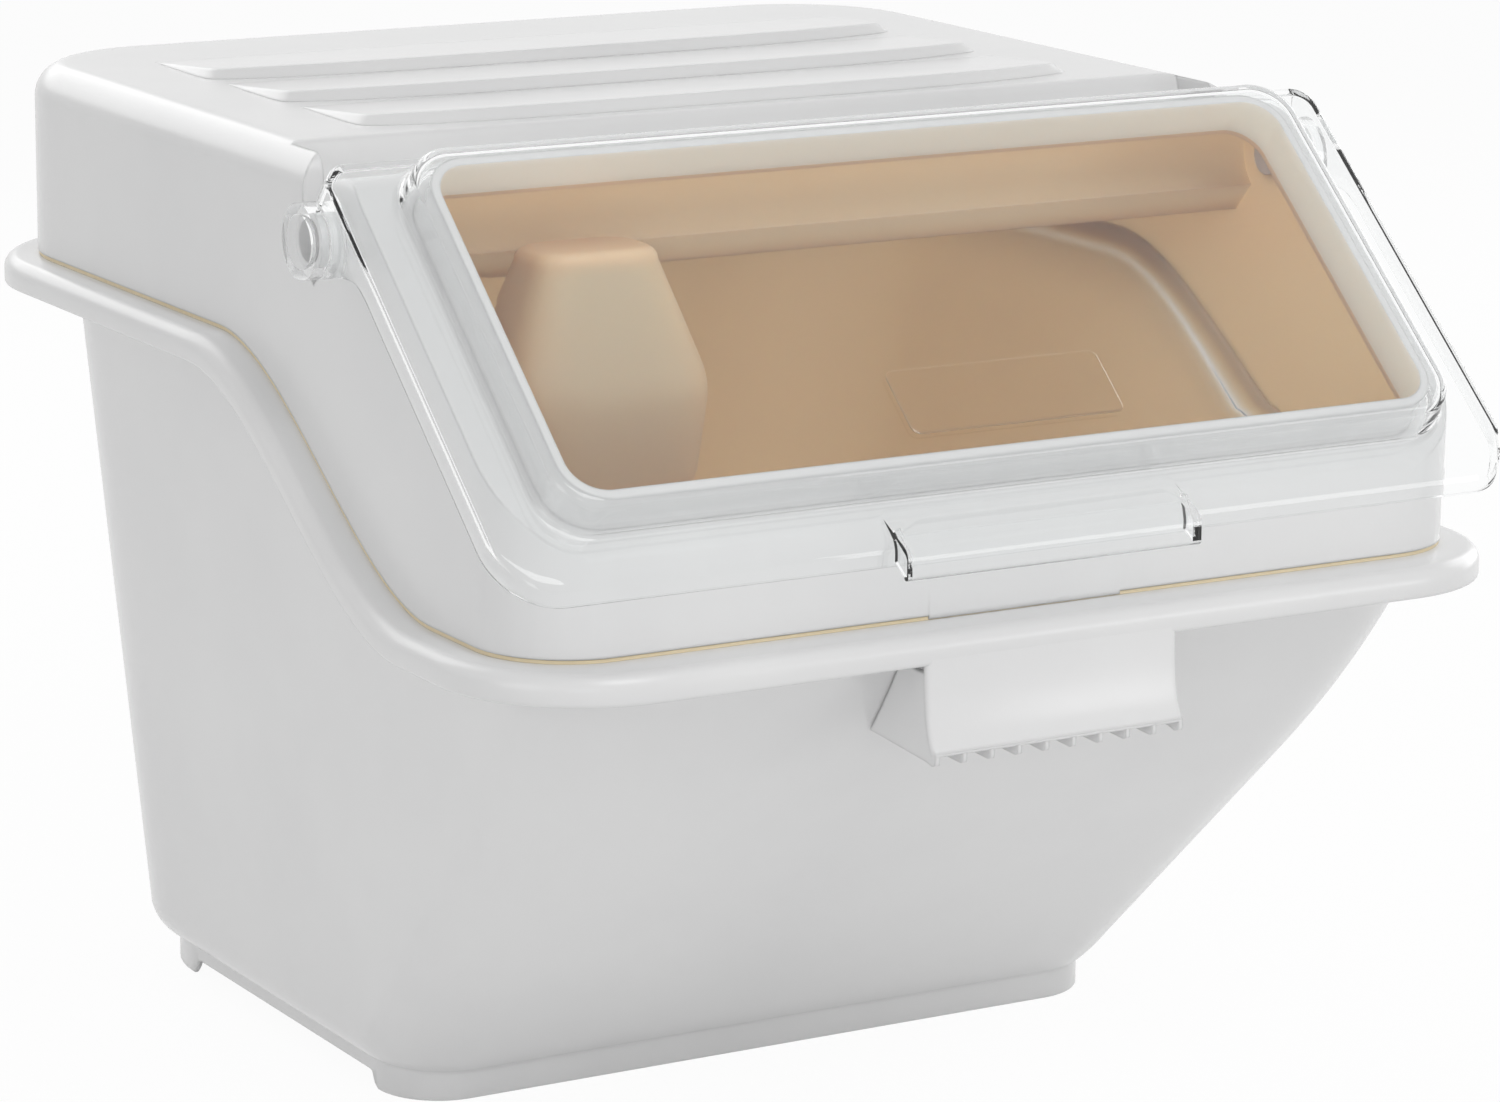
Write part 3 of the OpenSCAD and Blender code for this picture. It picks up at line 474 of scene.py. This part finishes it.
def hoodSide(d):  # side view: brow, knuckle, hinge slot, top, foot
    hy, hz, front, deg = slope["y"], slope["z"], hoodLine[1], slope["deg"]
    k, slot, turn = hood["knuckle"], hood["slot"], slotEnd(d)
    brow = (front + hood["brow"], slopeZ(front + hood["brow"], k - hood["brow"]))
    top, out = hood["top"], hood["over"]
    sh = (hy + slot + hood["shoulder"], top - hood["shoulder"])
    points = arc(brow, hood["brow"] - d, 180, 90 + deg, 10)
    points += arc((hy, hz), k - d, 90 + deg, turn, 40)
    points += arc((hy, hz), slot + d, turn, 0, 16)
    points += arc(sh, hood["shoulder"] - d, 180, 90, 8)[:-1] + [(sh[0], top - d + 0.02)]
    points += [(sh[0] + 5, top - d + 0.2), (hoodLine[2] + out, top + out)]
    if d:
        return points + [(hoodLine[2] + out, hood["under"]), (front + d, hood["under"])]
    ys = np.linspace(hoodLine[2] + out, front, 90)
    return points + [(y, float(rimZ(y)) + hood["seat"]) for y in ys]


def slotEnd(d):
    return hood["slotDeg"] - math.degrees(math.asin(d / hood["slot"]))


def troughCut(d):
    hy, top, front = slope["y"], hood["top"], hood["plateFront"]
    (fy, fz), floor, over = hood["trough"], hood["pocket"] - d, top + hood["over"]
    points = arc((hy, slope["z"]), hood["slot"] + d - 1, 0, slotEnd(d), 16)
    points += [(fy + d + v, floor + w) for v, w in hood["pocketEdge"]] + [(fy + d, fz - 2)]
    points += [(mix(fy, front, t) + d, mix(fz, top, t)) for t in hood["wallShares"]]
    points += [(front + d + v, top + w) for v, w in hood["plateEdge"]]
    points += [(front + d + 20, over), (hy + hood["slot"] + d - 1, over)]
    return prism(points, -hood["troughHalf"] - d, hood["troughHalf"] + d)


def roundRect(half, low, high, r, n):
    return (arc((half - r, low + r), r, -90, 0, n) + arc((half - r, high - r), r, 0, 90, n) +
            arc((r - half, high - r), r, 90, 180, n) + arc((r - half, low + r), r, 180, 270, n))


def slopeBlock(points, low, high):
    p = np.array(points)
    return loft([onSlope(stack(p[:, 0], p[:, 1], low)), onSlope(stack(p[:, 0], p[:, 1], high))])


def hoodShell(d, low, mark):
    def solid(name, shape):
        return piece(name, shape, hoodFinishes, [mark] * len(shape[1]))
    made = solid("hoodShell", hoodBox(d, low))
    reach = rim["line"][0] + 20
    carve(made, solid("side", prism(hoodSide(d), -reach, reach)), "INTERSECT")
    return carve(made, solid("trough", troughCut(d)), "DIFFERENCE")


def makeHood():
    outerLow, innerLow = hood["lowEnds"]
    made = hoodShell(0, outerLow, 0)
    # painted light: the inner shell takes the tan inside finish for the warm light through the wall
    carve(made, hoodShell(hood["wall"], innerLow, 1), "DIFFERENCE")
    half, low, high, r = hood["window"]
    c, steps = hood["collar"], hood["cornerSteps"]
    base = hood["knuckle"] - hood["wall"]
    frameLine = roundRect(half + c, low - c, high + c, r + c, steps)
    carve(made, piece("collar", slopeBlock(frameLine, base, hood["collarTop"]), hoodFinishes), "UNION")
    th, tr, tall = hood["tongue"]
    foot = rim["low"] + hood["seat"] - hood["tongueSink"]
    y, back, soft = hoodLine[1], hoodLine[1] + hood["tongueIn"], hood["tongueRound"]
    tongue = prism([(y - tr, foot + soft), (y - tr, foot + tall * 0.3), (y - tr * 0.1, foot + tall),
                    (back, foot + tall), (back, foot), (y - tr + soft, foot)], -th, th)
    carve(made, piece("tongue", tongue, hoodFinishes), "UNION")
    # painted light: the window's upper collar wall takes the cream tint, the lower part the tan tint
    for mark, start, end in ((2, hood["paintedTanTo"] - hood["lap"], hood["collarTop"] + 1), (1, 0, hood["paintedTanTo"])):
        shape = slopeBlock(roundRect(half, low, high, r, steps), start, end)
        carve(made, piece("window", shape, hoodFinishes, [mark] * len(shape[1])), "DIFFERENCE")
    for side in (-1, 1):
        x, reach = side * hoodLine[0], hood["holeReach"]
        hole = rod(x - reach, x + reach, hood["spigot"], (slope["y"], slope["z"]))
        carve(made, piece("pinHole", hole, hoodFinishes), "DIFFERENCE")
    return crease(made, hood["sharp"])


hoodPiece = makeHood()
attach(hoodPiece, "cover")
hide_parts("hood")
print("stage: hood", len(hoodPiece.data.polygons))


ribs = {"start": -19, "pitch": 75, "count": 3, "rise": 5, "length": 70, "sink": 0.5, "clear": 0.02, "sharp": 30,
        "crest": ((0, 0), (60, 0.3), (105, 2), (135, 5.2), (155, 9), (165, 12), (169.5, 15), (171, 20),
                  (171.8, 32), (172.3, 45), (172.8, 58), (173, 70)),
        "base": ((0, -4), (62, -3.8), (107, -2.2), (138, 0.8), (158, 4.6), (168.5, 7.6), (173.8, 11),
                 (175.2, 18), (175.2, 30), (174.9, 44), (174.3, 57), (173.5, 70)),
        "steps": ((0, 0, 0), (0.1, 0.06, 0), (0.8, 0.82, 0), (0.93, 0.94, 0), (1, 0.99, 0.4), (1, 1, 1.6))}


def smooth(points, n):  # a curve through the points
    p = np.asarray(points, float)
    p = np.vstack([2 * p[0] - p[1], p, 2 * p[-1] - p[-2]])
    t = np.linspace(0, 1, n, endpoint=False)[:, None]
    runs = [0.5 * (2 * b + (c - a) * t + (2 * a - 5 * b + 4 * c - d) * t ** 2 +
                   (3 * b - a - 3 * c + d) * t ** 3)
            for a, b, c, d in zip(p, p[1:], p[2:], p[3:])]
    return np.vstack(runs + [p[-2]])


def ribShape():
    top, rise, length = hood["top"], ribs["rise"], ribs["length"]

    def both(key):
        half = smooth(ribs[key], 4)
        return np.vstack([half[::-1] * (-1, 1), half[1:]])
    crest, base = both("crest"), both("base")
    middle = np.array([0, length])

    def loop(share, up, inward):
        p = mix(base, crest, share)
        reach = middle - p
        reach /= np.maximum(np.linalg.norm(reach, axis=1), 1)[:, None]
        p = p + reach * inward
        fall = 1 - np.clip(p[:, 1] / length, 0, 1)
        return stack(p[:, 0], p[:, 1], top + ribs["clear"] + rise * up * fall)
    loops = [loop(*step) for step in ribs["steps"]]
    return loft([loops[0] - np.array([0, 0, ribs["sink"]])] + loops)


def ribTree():
    group, g, take = tree("ribRow", (("Count", "NodeSocketInt"), ("Start", "NodeSocketVector"),
                                     ("Pitch", "NodeSocketVector"), ("Material", "NodeSocketMaterial")))
    row = g.node("GeometryNodeMeshLine", {"mode": "OFFSET"},
                 {"Count": take["Count"], "Start Location": take["Start"], "Offset": take["Pitch"]})
    copies = g.node("GeometryNodeInstanceOnPoints", None, {"Points": row, "Instance": take["Geometry"]})
    closeTree(g, copies, take["Material"])
    return group


rowTree = ribTree()
ribPiece = piece("hoodRibs", ribShape(), (white,))
grow(ribPiece, rowTree, {"Count": ribs["count"], "Start": (0, ribs["start"] * mm, 0),
                         "Pitch": (0, ribs["pitch"] * mm, 0), "Material": white})
crease(ribPiece, ribs["sharp"])
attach(ribPiece, "cover")
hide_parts("hood")
print("stage: ribs", len(ribPiece.data.polygons))


lid = {"line": (238.7, -196.4, 15, 25, 11), "sheet": 3, "top": 28.3, "bend": (3.5, 10, 1.2),
       "flange": (10.6, 9.3, 1.6), "panel": (213, -176, 9, 21, 21), "panelTop": 45.3,
       "panelInside": ((14, 0), (7.5, 0), (6, -0.3), (5.2, -1.1), (5, -2.2)),
       "panelFoot": ((3.6, 2.2), (3.2, 0.9), (2.2, 0.2), (1, 0)),
       "panelOutside": ((-3, 0), (-1.4, 0.35), (-0.5, 1.2), (0, 2.6)),
       "panelRound": 4, "panelLean": 2, "panelFlat": 12, "tip": (0.12, 0.88),
       "boss": (15.5, 229, 244.5), "bore": 11.06, "boreSteps": 72,
       "earY": (-60, -47, -40, -35, -29, -24, -18, -12, -6, 0, 4),
       "earZ": (17.7, 17.9, 17.2, 15.8, 11, 5.5, -2.3, -9.4, -13.6, -14.6, -14.2),
       "apron": -263, "pull": (69, -273, 11, 265), "cheekLow": 269,
       "pullBend": ((3.2, 2.2), (1.6, 1.0), (0.6, -0.4), (0.1, -2.0), (0, -3.6)),
       "pullEnd": ((0, 0.8), (0.8, 0)), "pullEndIn": ((-0.6, 0), (0, 0.8)),
       "pullBendIn": ((0, -3.2), (1, -1.6)),
       "badge": (50, -158, -126, 4), "badgeEdge": ((0, -0.4), (0, 0.1), (0.7, 0.45), (1.2, 0.5)), "sharp": 35}


def lidLoops():
    way = stations(40, 18, 60)
    leg, s = way
    a = s * math.pi / 2
    flat = 0 * s
    nx = np.choose(leg, [flat, np.sin(a), flat + 1, np.cos(a), flat, -np.sin(a), flat - 1, -np.cos(a)])
    ny = np.choose(leg, [flat - 1, -np.cos(a), flat, np.sin(a), flat + 1, np.cos(a), flat, -np.sin(a)])
    out = stack(nx, ny, 0)
    front, rear = np.maximum(-ny, 0) ** 2, np.maximum(ny, 0) ** 2
    side = 1 - front - rear

    def share(three):
        return (three[0] * side + three[1] * front + three[2] * rear)[:, None]
    down = stack(flat, -sinS * front, -(1 - front) - cosS * front)
    down /= np.linalg.norm(down, axis=1)[:, None]
    cosTurn = np.sum(out * down, axis=1)[:, None]
    face = out - cosTurn * down
    face /= np.linalg.norm(face, axis=1)[:, None]
    t = lid["sheet"]
    corner = stack(*outline(lid["line"], way), lid["top"])
    faceUp, faceOut = face[:, 2:3], np.sum(face * out, axis=1)[:, None]
    inner = corner + np.array([0, 0, -t]) + out * (t * (faceUp - 1) / faceOut)
    half = np.arccos(np.clip(cosTurn, -1, 1)) / 2
    length = share(lid["flange"])
    ear = np.interp(corner[:, 1], lid["earY"], lid["earZ"])
    turn = mix(lid["earZ"][-1], lid["top"] - lid["flange"][2], ease(np.where(leg == 3, s, 1 - s)))
    low = np.where((leg == 2) | (leg == 6), ear, turn)
    onEar = (leg == 2) | (leg == 3) | (leg == 5) | (leg == 6)
    length = np.where(onEar[:, None], (lid["top"] - low)[:, None], length)

    def bend(c, r, n):
        reach = np.minimum(r * np.tan(half), length - 0.4)
        p, q = c - out * reach, c + down * reach
        return [(1 - v) ** 2 * p + 2 * v * (1 - v) * c + v * v * q for v in np.linspace(0, 1, n + 1)]
    outer = bend(corner, share(lid["bend"]), 8)
    inwards = bend(inner, np.maximum(share(lid["bend"]) - t, 0.6), 5)
    endOut = corner + down * length
    endIn = inner + down * (length + np.sum((corner - inner) * down, axis=1)[:, None])
    panel, top = lid["panel"], lid["panelTop"]

    def ring(d, z):
        return stack(*outline(inset(panel, d), way), z)
    low = lid["top"] - t
    loops = [ring(d, top - t + up) for d, up in lid["panelInside"]]
    loops += [ring(d, low + up) for d, up in lid["panelFoot"]]
    loops += inwards
    loops += [mix(inwards[-1], endIn, 0.9)] + [endIn + (endOut - endIn) * v for v in lid["tip"]]
    loops += [mix(endOut, outer[-1], 0.1)] + outer[::-1]
    loops += [ring(d, lid["top"] + up) for d, up in lid["panelOutside"]]
    r, lean = lid["panelRound"], lid["panelLean"]
    loops += [ring(lean + r * (1 - math.cos(v)), top - r + r * math.sin(v))
              for v in np.radians(np.linspace(0, 90, 8))]
    loops += [ring(lid["panelFlat"], top)]
    return [onSlope(p) for p in loops]


def pullShape():
    half, py, tall, pz = lid["pull"]
    t, high = lid["sheet"], pz + tall
    start = lid["apron"] + lid["bend"][1]
    startZ = slopeZ(start, lid["top"])
    points = [(start, startZ - 0.3)] + [(py + v, high + w) for v, w in lid["pullBend"]]
    points += [(py + v, pz + w) for v, w in lid["pullEnd"]]
    points += [(py + t + v, pz + w) for v, w in lid["pullEndIn"]]
    points += [(py + t + v, high + w) for v, w in lid["pullBendIn"]]
    points += [(lid["apron"] + t / 2, mix(high, startZ, 0.6) - t), (start, startZ - t + 0.3)]
    return prism(points, -half, half)


def cheekShape(x0, x1):
    half, py, tall, pz = lid["pull"]
    t = lid["sheet"]
    start = lid["apron"] + lid["bend"][1]
    back = lid["apron"] + t / 2
    return prism([(back, lid["cheekLow"] + t), (back, slopeZ(start, lid["top"]) - t),
                  (py + t / 2, pz + tall - t / 2), (py + t / 2, pz + 0.2)], x0, x1)


def makeLid():
    made = piece("windowLid", loft(lidLoops()), (clear,))
    r, x0, x1 = lid["boss"]
    centre, steps = (slope["y"], slope["z"]), lid["boreSteps"]
    for side in (-1, 1):
        tube = sorted((side * x0, side * x1))
        carve(made, piece("boss", rod(*tube, r, centre, steps), (clear,)), "UNION")
    carve(made, piece("pull", pullShape(), (clear,)), "UNION")
    half, t = lid["pull"][0], lid["sheet"]
    for side in (-1, 1):
        ends = sorted((side * (half - 0.02), side * (half - t)))
        carve(made, piece("cheek", cheekShape(*ends), (clear,)), "UNION")
    wide, low, high, corner = lid["badge"]
    rows = [(roundRect(wide - d, low + d, high - d, corner - d, 8), up) for d, up in lid["badgeEdge"]]
    plate = loft([onSlope(np.column_stack([p, np.full(len(p), lid["panelTop"] + up)])) for p, up in rows])
    carve(made, piece("badge", plate, (clear,)), "UNION")
    carve(made, piece("bore", rod(-x1 - 1, x1 + 1, lid["bore"], centre, steps), (clear,)), "DIFFERENCE")
    return crease(made, lid["sharp"])


lidPiece = makeLid()
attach(lidPiece, "lid")
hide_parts("window_lid")
print("stage: lid", len(lidPiece.data.polygons))


scoop = {"x": -127, "y": -116, "low": (275, 43), "mid": (321, 49), "top": (377, 26), "depth": 0.66,
         "wall": 2.4, "cap": 6, "capTurns": (25, 50, 70, 90), "power": 0.55, "soften": 8,
         "handle": (18, 6, 58, 287, 337), "handleStart": 22, "handleRound": 9, "sharp": 35}


def scoopHalf(z):
    (z0, h0), (z1, h1), (z2, h2) = scoop["low"], scoop["mid"], scoop["top"]
    near = z + np.linspace(-scoop["soften"], scoop["soften"], 9)
    below, above = mix(h0, h1, (near - z0) / (z1 - z0)), mix(h1, h2, (near - z1) / (z2 - z1))
    return float(np.mean(np.where(near < z1, below, above)))  # the knee is softened


def scoopLoop(half, z):
    a = np.linspace(0, 2 * math.pi, 96, endpoint=False)

    def soft(v):
        return np.sign(v) * np.abs(v) ** scoop["power"]
    return stack(scoop["x"] + half * soft(np.cos(a)), scoop["y"] + half * scoop["depth"] * soft(np.sin(a)), z)


def makeScoop():
    low, mid, top = scoop["low"][0], scoop["mid"][0], scoop["top"][0]
    cap, r = top - scoop["cap"], scoop["cap"]
    t = scoop["wall"] / scoop["depth"]
    inRows = (cap - 4, 352, mid + 9, mid + 4, mid, mid - 4, mid - 9, 300, low + 1.5)
    outRows = (low + 1.2, low + 8, 300, mid - 9, mid - 6, mid - 3, mid, mid + 3, mid + 6, mid + 9,
               345, 360, cap)
    loops = [scoopLoop(scoopHalf(cap) - t - 3, cap), scoopLoop(scoopHalf(cap) - t - 0.4, cap - 0.6)]
    loops += [scoopLoop(scoopHalf(z) - t, z) for z in inRows]
    loops += [scoopLoop(scoopHalf(low) - t + 0.5, low + 0.2), scoopLoop(scoopHalf(low) - 0.5, low + 0.2)]
    loops += [scoopLoop(scoopHalf(z), z) for z in outRows]
    loops += [scoopLoop(scoopHalf(cap) - r * (1 - math.cos(v)), cap + r * math.sin(v))
              for v in np.radians(scoop["capTurns"])]
    body = piece("scoopBody", loft(loops), (scoopPaintedWarm,))
    wide, thick, reach, z0, z1 = scoop["handle"]
    start, bow = scoop["y"] + scoop["handleStart"], scoop["handleRound"]
    y = scoop["y"] + reach - bow
    outer = [(start, z0)] + arc((y, z0 + bow), bow, -90, 0, 8)
    outer += arc((y, z1 - bow), bow, 0, 90, 8) + [(start, z1)]
    inner = [(start, z1 - thick)] + arc((y, z1 - bow), bow - thick, 90, 0, 6)
    inner += arc((y, z0 + bow), bow - thick, 0, -90, 6) + [(start, z0 + thick)]
    bar = piece("bar", prism(outer + inner, scoop["x"] - wide / 2, scoop["x"] + wide / 2), (scoopPaintedWarm,))
    core = loft([scoopLoop(scoopHalf(z) - t / 2, z) for z in (low - 5, mid, cap)])
    carve(bar, piece("hollow", core, (scoopPaintedWarm,)), "DIFFERENCE")
    carve(body, bar, "UNION")
    return crease(body, scoop["sharp"])


scoopPiece = makeScoop()
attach(scoopPiece, "scooper")
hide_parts("scoop")
print("stage: scoop", len(scoopPiece.data.polygons))


grip = {"half": 59, "reach": 7, "low": 194, "start": 236, "sheet": 3, "rib": 2.0, "ribs": 8, "pitch": 12.82,
        "drop": 4, "depth": 16, "cheek": 2.6, "bulge": ((0.12, 1), (0.28, 2), (0.6, 5)), "behind": 1.5,
        "ends": ((0, 1.6), (0.25, 1.0), (0.7, 0.5), (1.4, 0.15), (2.4, 0)), "sharp": (35, 30),
        "lip": ((0, 1.4), (0.3, 0.4), (1, 0)), "toothBack": ((0, 3), (-3, 0.6)),
        "toothFront": ((2, 0), (0.6, 0.4), (0, 1.2)), "cheekUnder": ((6, 1), (2, 0), (-0.4, 0.5), (-1, 1.6))}


def gripY(z):  # the face swings out to its lip
    v = (grip["start"] - z) / (grip["start"] - grip["low"])
    swing = sum(share * v ** power for share, power in grip["bulge"])
    return rim["line"][1] + 0.1 - (grip["reach"] + 0.1) * swing


def gripFace():
    y, low = rim["line"][1], grip["low"]
    r, t, start = grip["reach"], grip["sheet"], grip["start"]
    bulge = [(gripY(z), z) for z in np.linspace(start, low, 24)]
    front = bulge[:-1] + [(y - r + v, low + w) for v, w in grip["lip"]]
    back = [(a + t, b) for a, b in bulge[:-1] if b < rim["low"] - rim["lip"] - 0.5]
    rear = [(y - r + t, low)] + back[::-1] + [(y + 1.5, start)]
    ways = [(x - grip["half"], d) for x, d in grip["ends"]]
    ways += [(-x, d) for x, d in reversed(ways)]
    return loft([np.array([(x, a + d, b) for a, b in front] + [(x, a, b) for a, b in rear]) for x, d in ways])


def gripRib():
    y, top = rim["line"][1], rim["low"] - rim["lip"] - 0.1
    low, back = grip["low"] - grip["drop"], y + grip["depth"]
    front = y - grip["reach"] + 0.5
    edge = [(gripY(z) + grip["behind"], z) for z in np.linspace(grip["low"] + 3, top, 10)]
    under = [(back + v, low + w) for v, w in grip["toothBack"]]
    under += [(front + v, low + w) for v, w in grip["toothFront"]]
    return edge + [(back, top - 3)] + under + [(front, grip["low"] + 0.8)]


def gripCheek(x0, x1):
    y, top, low = rim["line"][1], rim["low"] - rim["lip"] - 3, grip["low"]
    edge = [(float(frontAt(np.array(z))) - 1, z) for z in np.linspace(top, low, 12)]
    nose = y - grip["reach"] + 1.5
    tip = low - grip["drop"]
    inner = [(gripY(z) + grip["behind"], z) for z in np.linspace(low + 3, top, 10)]
    under = [(nose + v, tip + w) for v, w in grip["cheekUnder"]] + [(nose - 1, low + 0.8)]
    return prism([(y + 0.5, top)] + edge + under + inner[:-1], x0, x1)


half, ribT, cheekT = grip["half"], grip["rib"], grip["cheek"]
gripPiece = piece("gripFace", gripFace(), (white,))
for side in (-1, 1):
    ends = sorted((side * (half - 0.3), side * (half - cheekT)))
    carve(gripPiece, piece("cheek", gripCheek(*ends), (white,)), "UNION")
crease(gripPiece, grip["sharp"][0])
teethPiece = piece("gripTeeth", prism(gripRib(), -ribT / 2, ribT / 2), (white,))
firstTooth = -grip["pitch"] * (grip["ribs"] - 1) / 2
grow(teethPiece, rowTree, {"Count": grip["ribs"], "Start": (firstTooth * mm, 0, 0),
                           "Pitch": (grip["pitch"] * mm, 0, 0), "Material": white})
crease(teethPiece, grip["sharp"][1])
for made in (gripPiece, teethPiece):
    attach(made, "base")
    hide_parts("front_grip")
print("stage: grip", len(gripPiece.data.polygons), len(teethPiece.data.polygons))


for name in ("hinge_pin_left", "hinge_pin_right", "scoop_hook"):  # these keep their solids
    nodes[name].data.materials.clear()
    nodes[name].data.materials.append(pinWhite)


# panels: name, place, target, size, power
light = {"world": 0.42, "floor": 0.95, "floorBox": (-9000, -6000, 9000, 14000),
         "panels": (("key", (-1.2, -2.2, 0.35), (0, -0.1, 0.2), 0.6, 2.2),
                    ("left", (-2.5, -1.0, 0.7), (0, 0, 0.2), 1.3, 9.0),
                    ("high", (0.1, -1.5, 1.8), (0, 0, 0.38), 1.1, 13.5),
                    ("frontRight", (1.5, -2.2, 0.3), (0, -0.1, 0.2), 0.8, 5.5),
                    ("right", (2.3, 0.5, 0.9), (0, 0, 0.25), 1.5, 14.0),
                    ("behind", (-0.3, 1.6, 1.4), (0, 0.1, 0.3), 1.6, 12.0))}


def makeFloor():
    x0, y0, x1, y1 = light["floorBox"]
    floor = piece("floor", ([(x0, y0, 0), (x1, y0, 0), (x1, y1, 0), (x0, y1, 0)], [(0, 1, 2, 3)]), ())
    f = Finish("paleFloor")
    place = f.node("ShaderNodeTexCoord", None, None, "Object")
    fine = f.noise(place, 60.0)
    matt = f.node("ShaderNodeBsdfPrincipled", None, {
        "Base Color": (0.9, 0.9, 0.9, 1), "Roughness": 0.75 + 0.1 * fine, "Specular IOR Level": 0.1})
    glow = f.node("ShaderNodeEmission", None, {"Color": (1, 1, 1, 1), "Strength": 1.0})
    seen = light["floor"] * f.shown()
    floor.data.materials.append(f.close(f.node("ShaderNodeMixShader", None, {0: seen, 1: matt, 2: glow})))


def makeWorld():
    world = bpy.data.worlds.new("studio")
    bpy.context.scene.world = world
    world.use_nodes = True
    f = Finish("studio", world.node_tree)
    level = light["world"] + (1.0 - light["world"]) * f.shown()
    back = f.node("ShaderNodeBackground", None, {"Color": (1, 1, 1, 1), "Strength": level})
    f.node("ShaderNodeOutputWorld", None, {"Surface": back})


def makeLights():
    for name, place, target, size, power in light["panels"]:
        lamp = bpy.data.lights.new(name, "AREA")
        lamp.shape, lamp.size, lamp.energy = "SQUARE", size, power
        made = bpy.data.objects.new(name, lamp)
        made.visible_transmission = False  # no lamp shows through the clear lid
        aim = Vector(target) - Vector(place)
        made.matrix_world = Matrix.Translation(place) @ aim.to_track_quat("-Z", "Y").to_matrix().to_4x4()
        bpy.context.scene.collection.objects.link(made)


camera = {"place": (-1.15834, -2.02086, 0.75702), "az": -30.22, "el": 13.13, "roll": 0.49, "lens": 130.797}


def makeCamera():
    a, e, r = (math.radians(camera[k]) for k in ("az", "el", "roll"))
    back = Vector((math.sin(a) * math.cos(e), -math.cos(a) * math.cos(e), math.sin(e)))
    right = Vector((math.cos(a), math.sin(a), 0))
    up = Vector((-math.sin(a) * math.sin(e), math.cos(a) * math.sin(e), math.cos(e)))
    across, above = math.cos(r) * right + math.sin(r) * up, math.cos(r) * up - math.sin(r) * right
    data = bpy.data.cameras.new("photoCamera")
    data.sensor_width, data.sensor_fit, data.lens = 36, "HORIZONTAL", camera["lens"]
    made = bpy.data.objects.new("photoCamera", data)
    turn = Matrix((across, above, back)).transposed().to_4x4()
    made.matrix_world = Matrix.Translation(camera["place"]) @ turn
    bpy.context.scene.collection.objects.link(made)
    bpy.context.scene.camera = made


makeFloor()
makeWorld()
makeLights()
makeCamera()
bpy.context.scene.view_settings.view_transform = "Standard"
print("stage: studio")
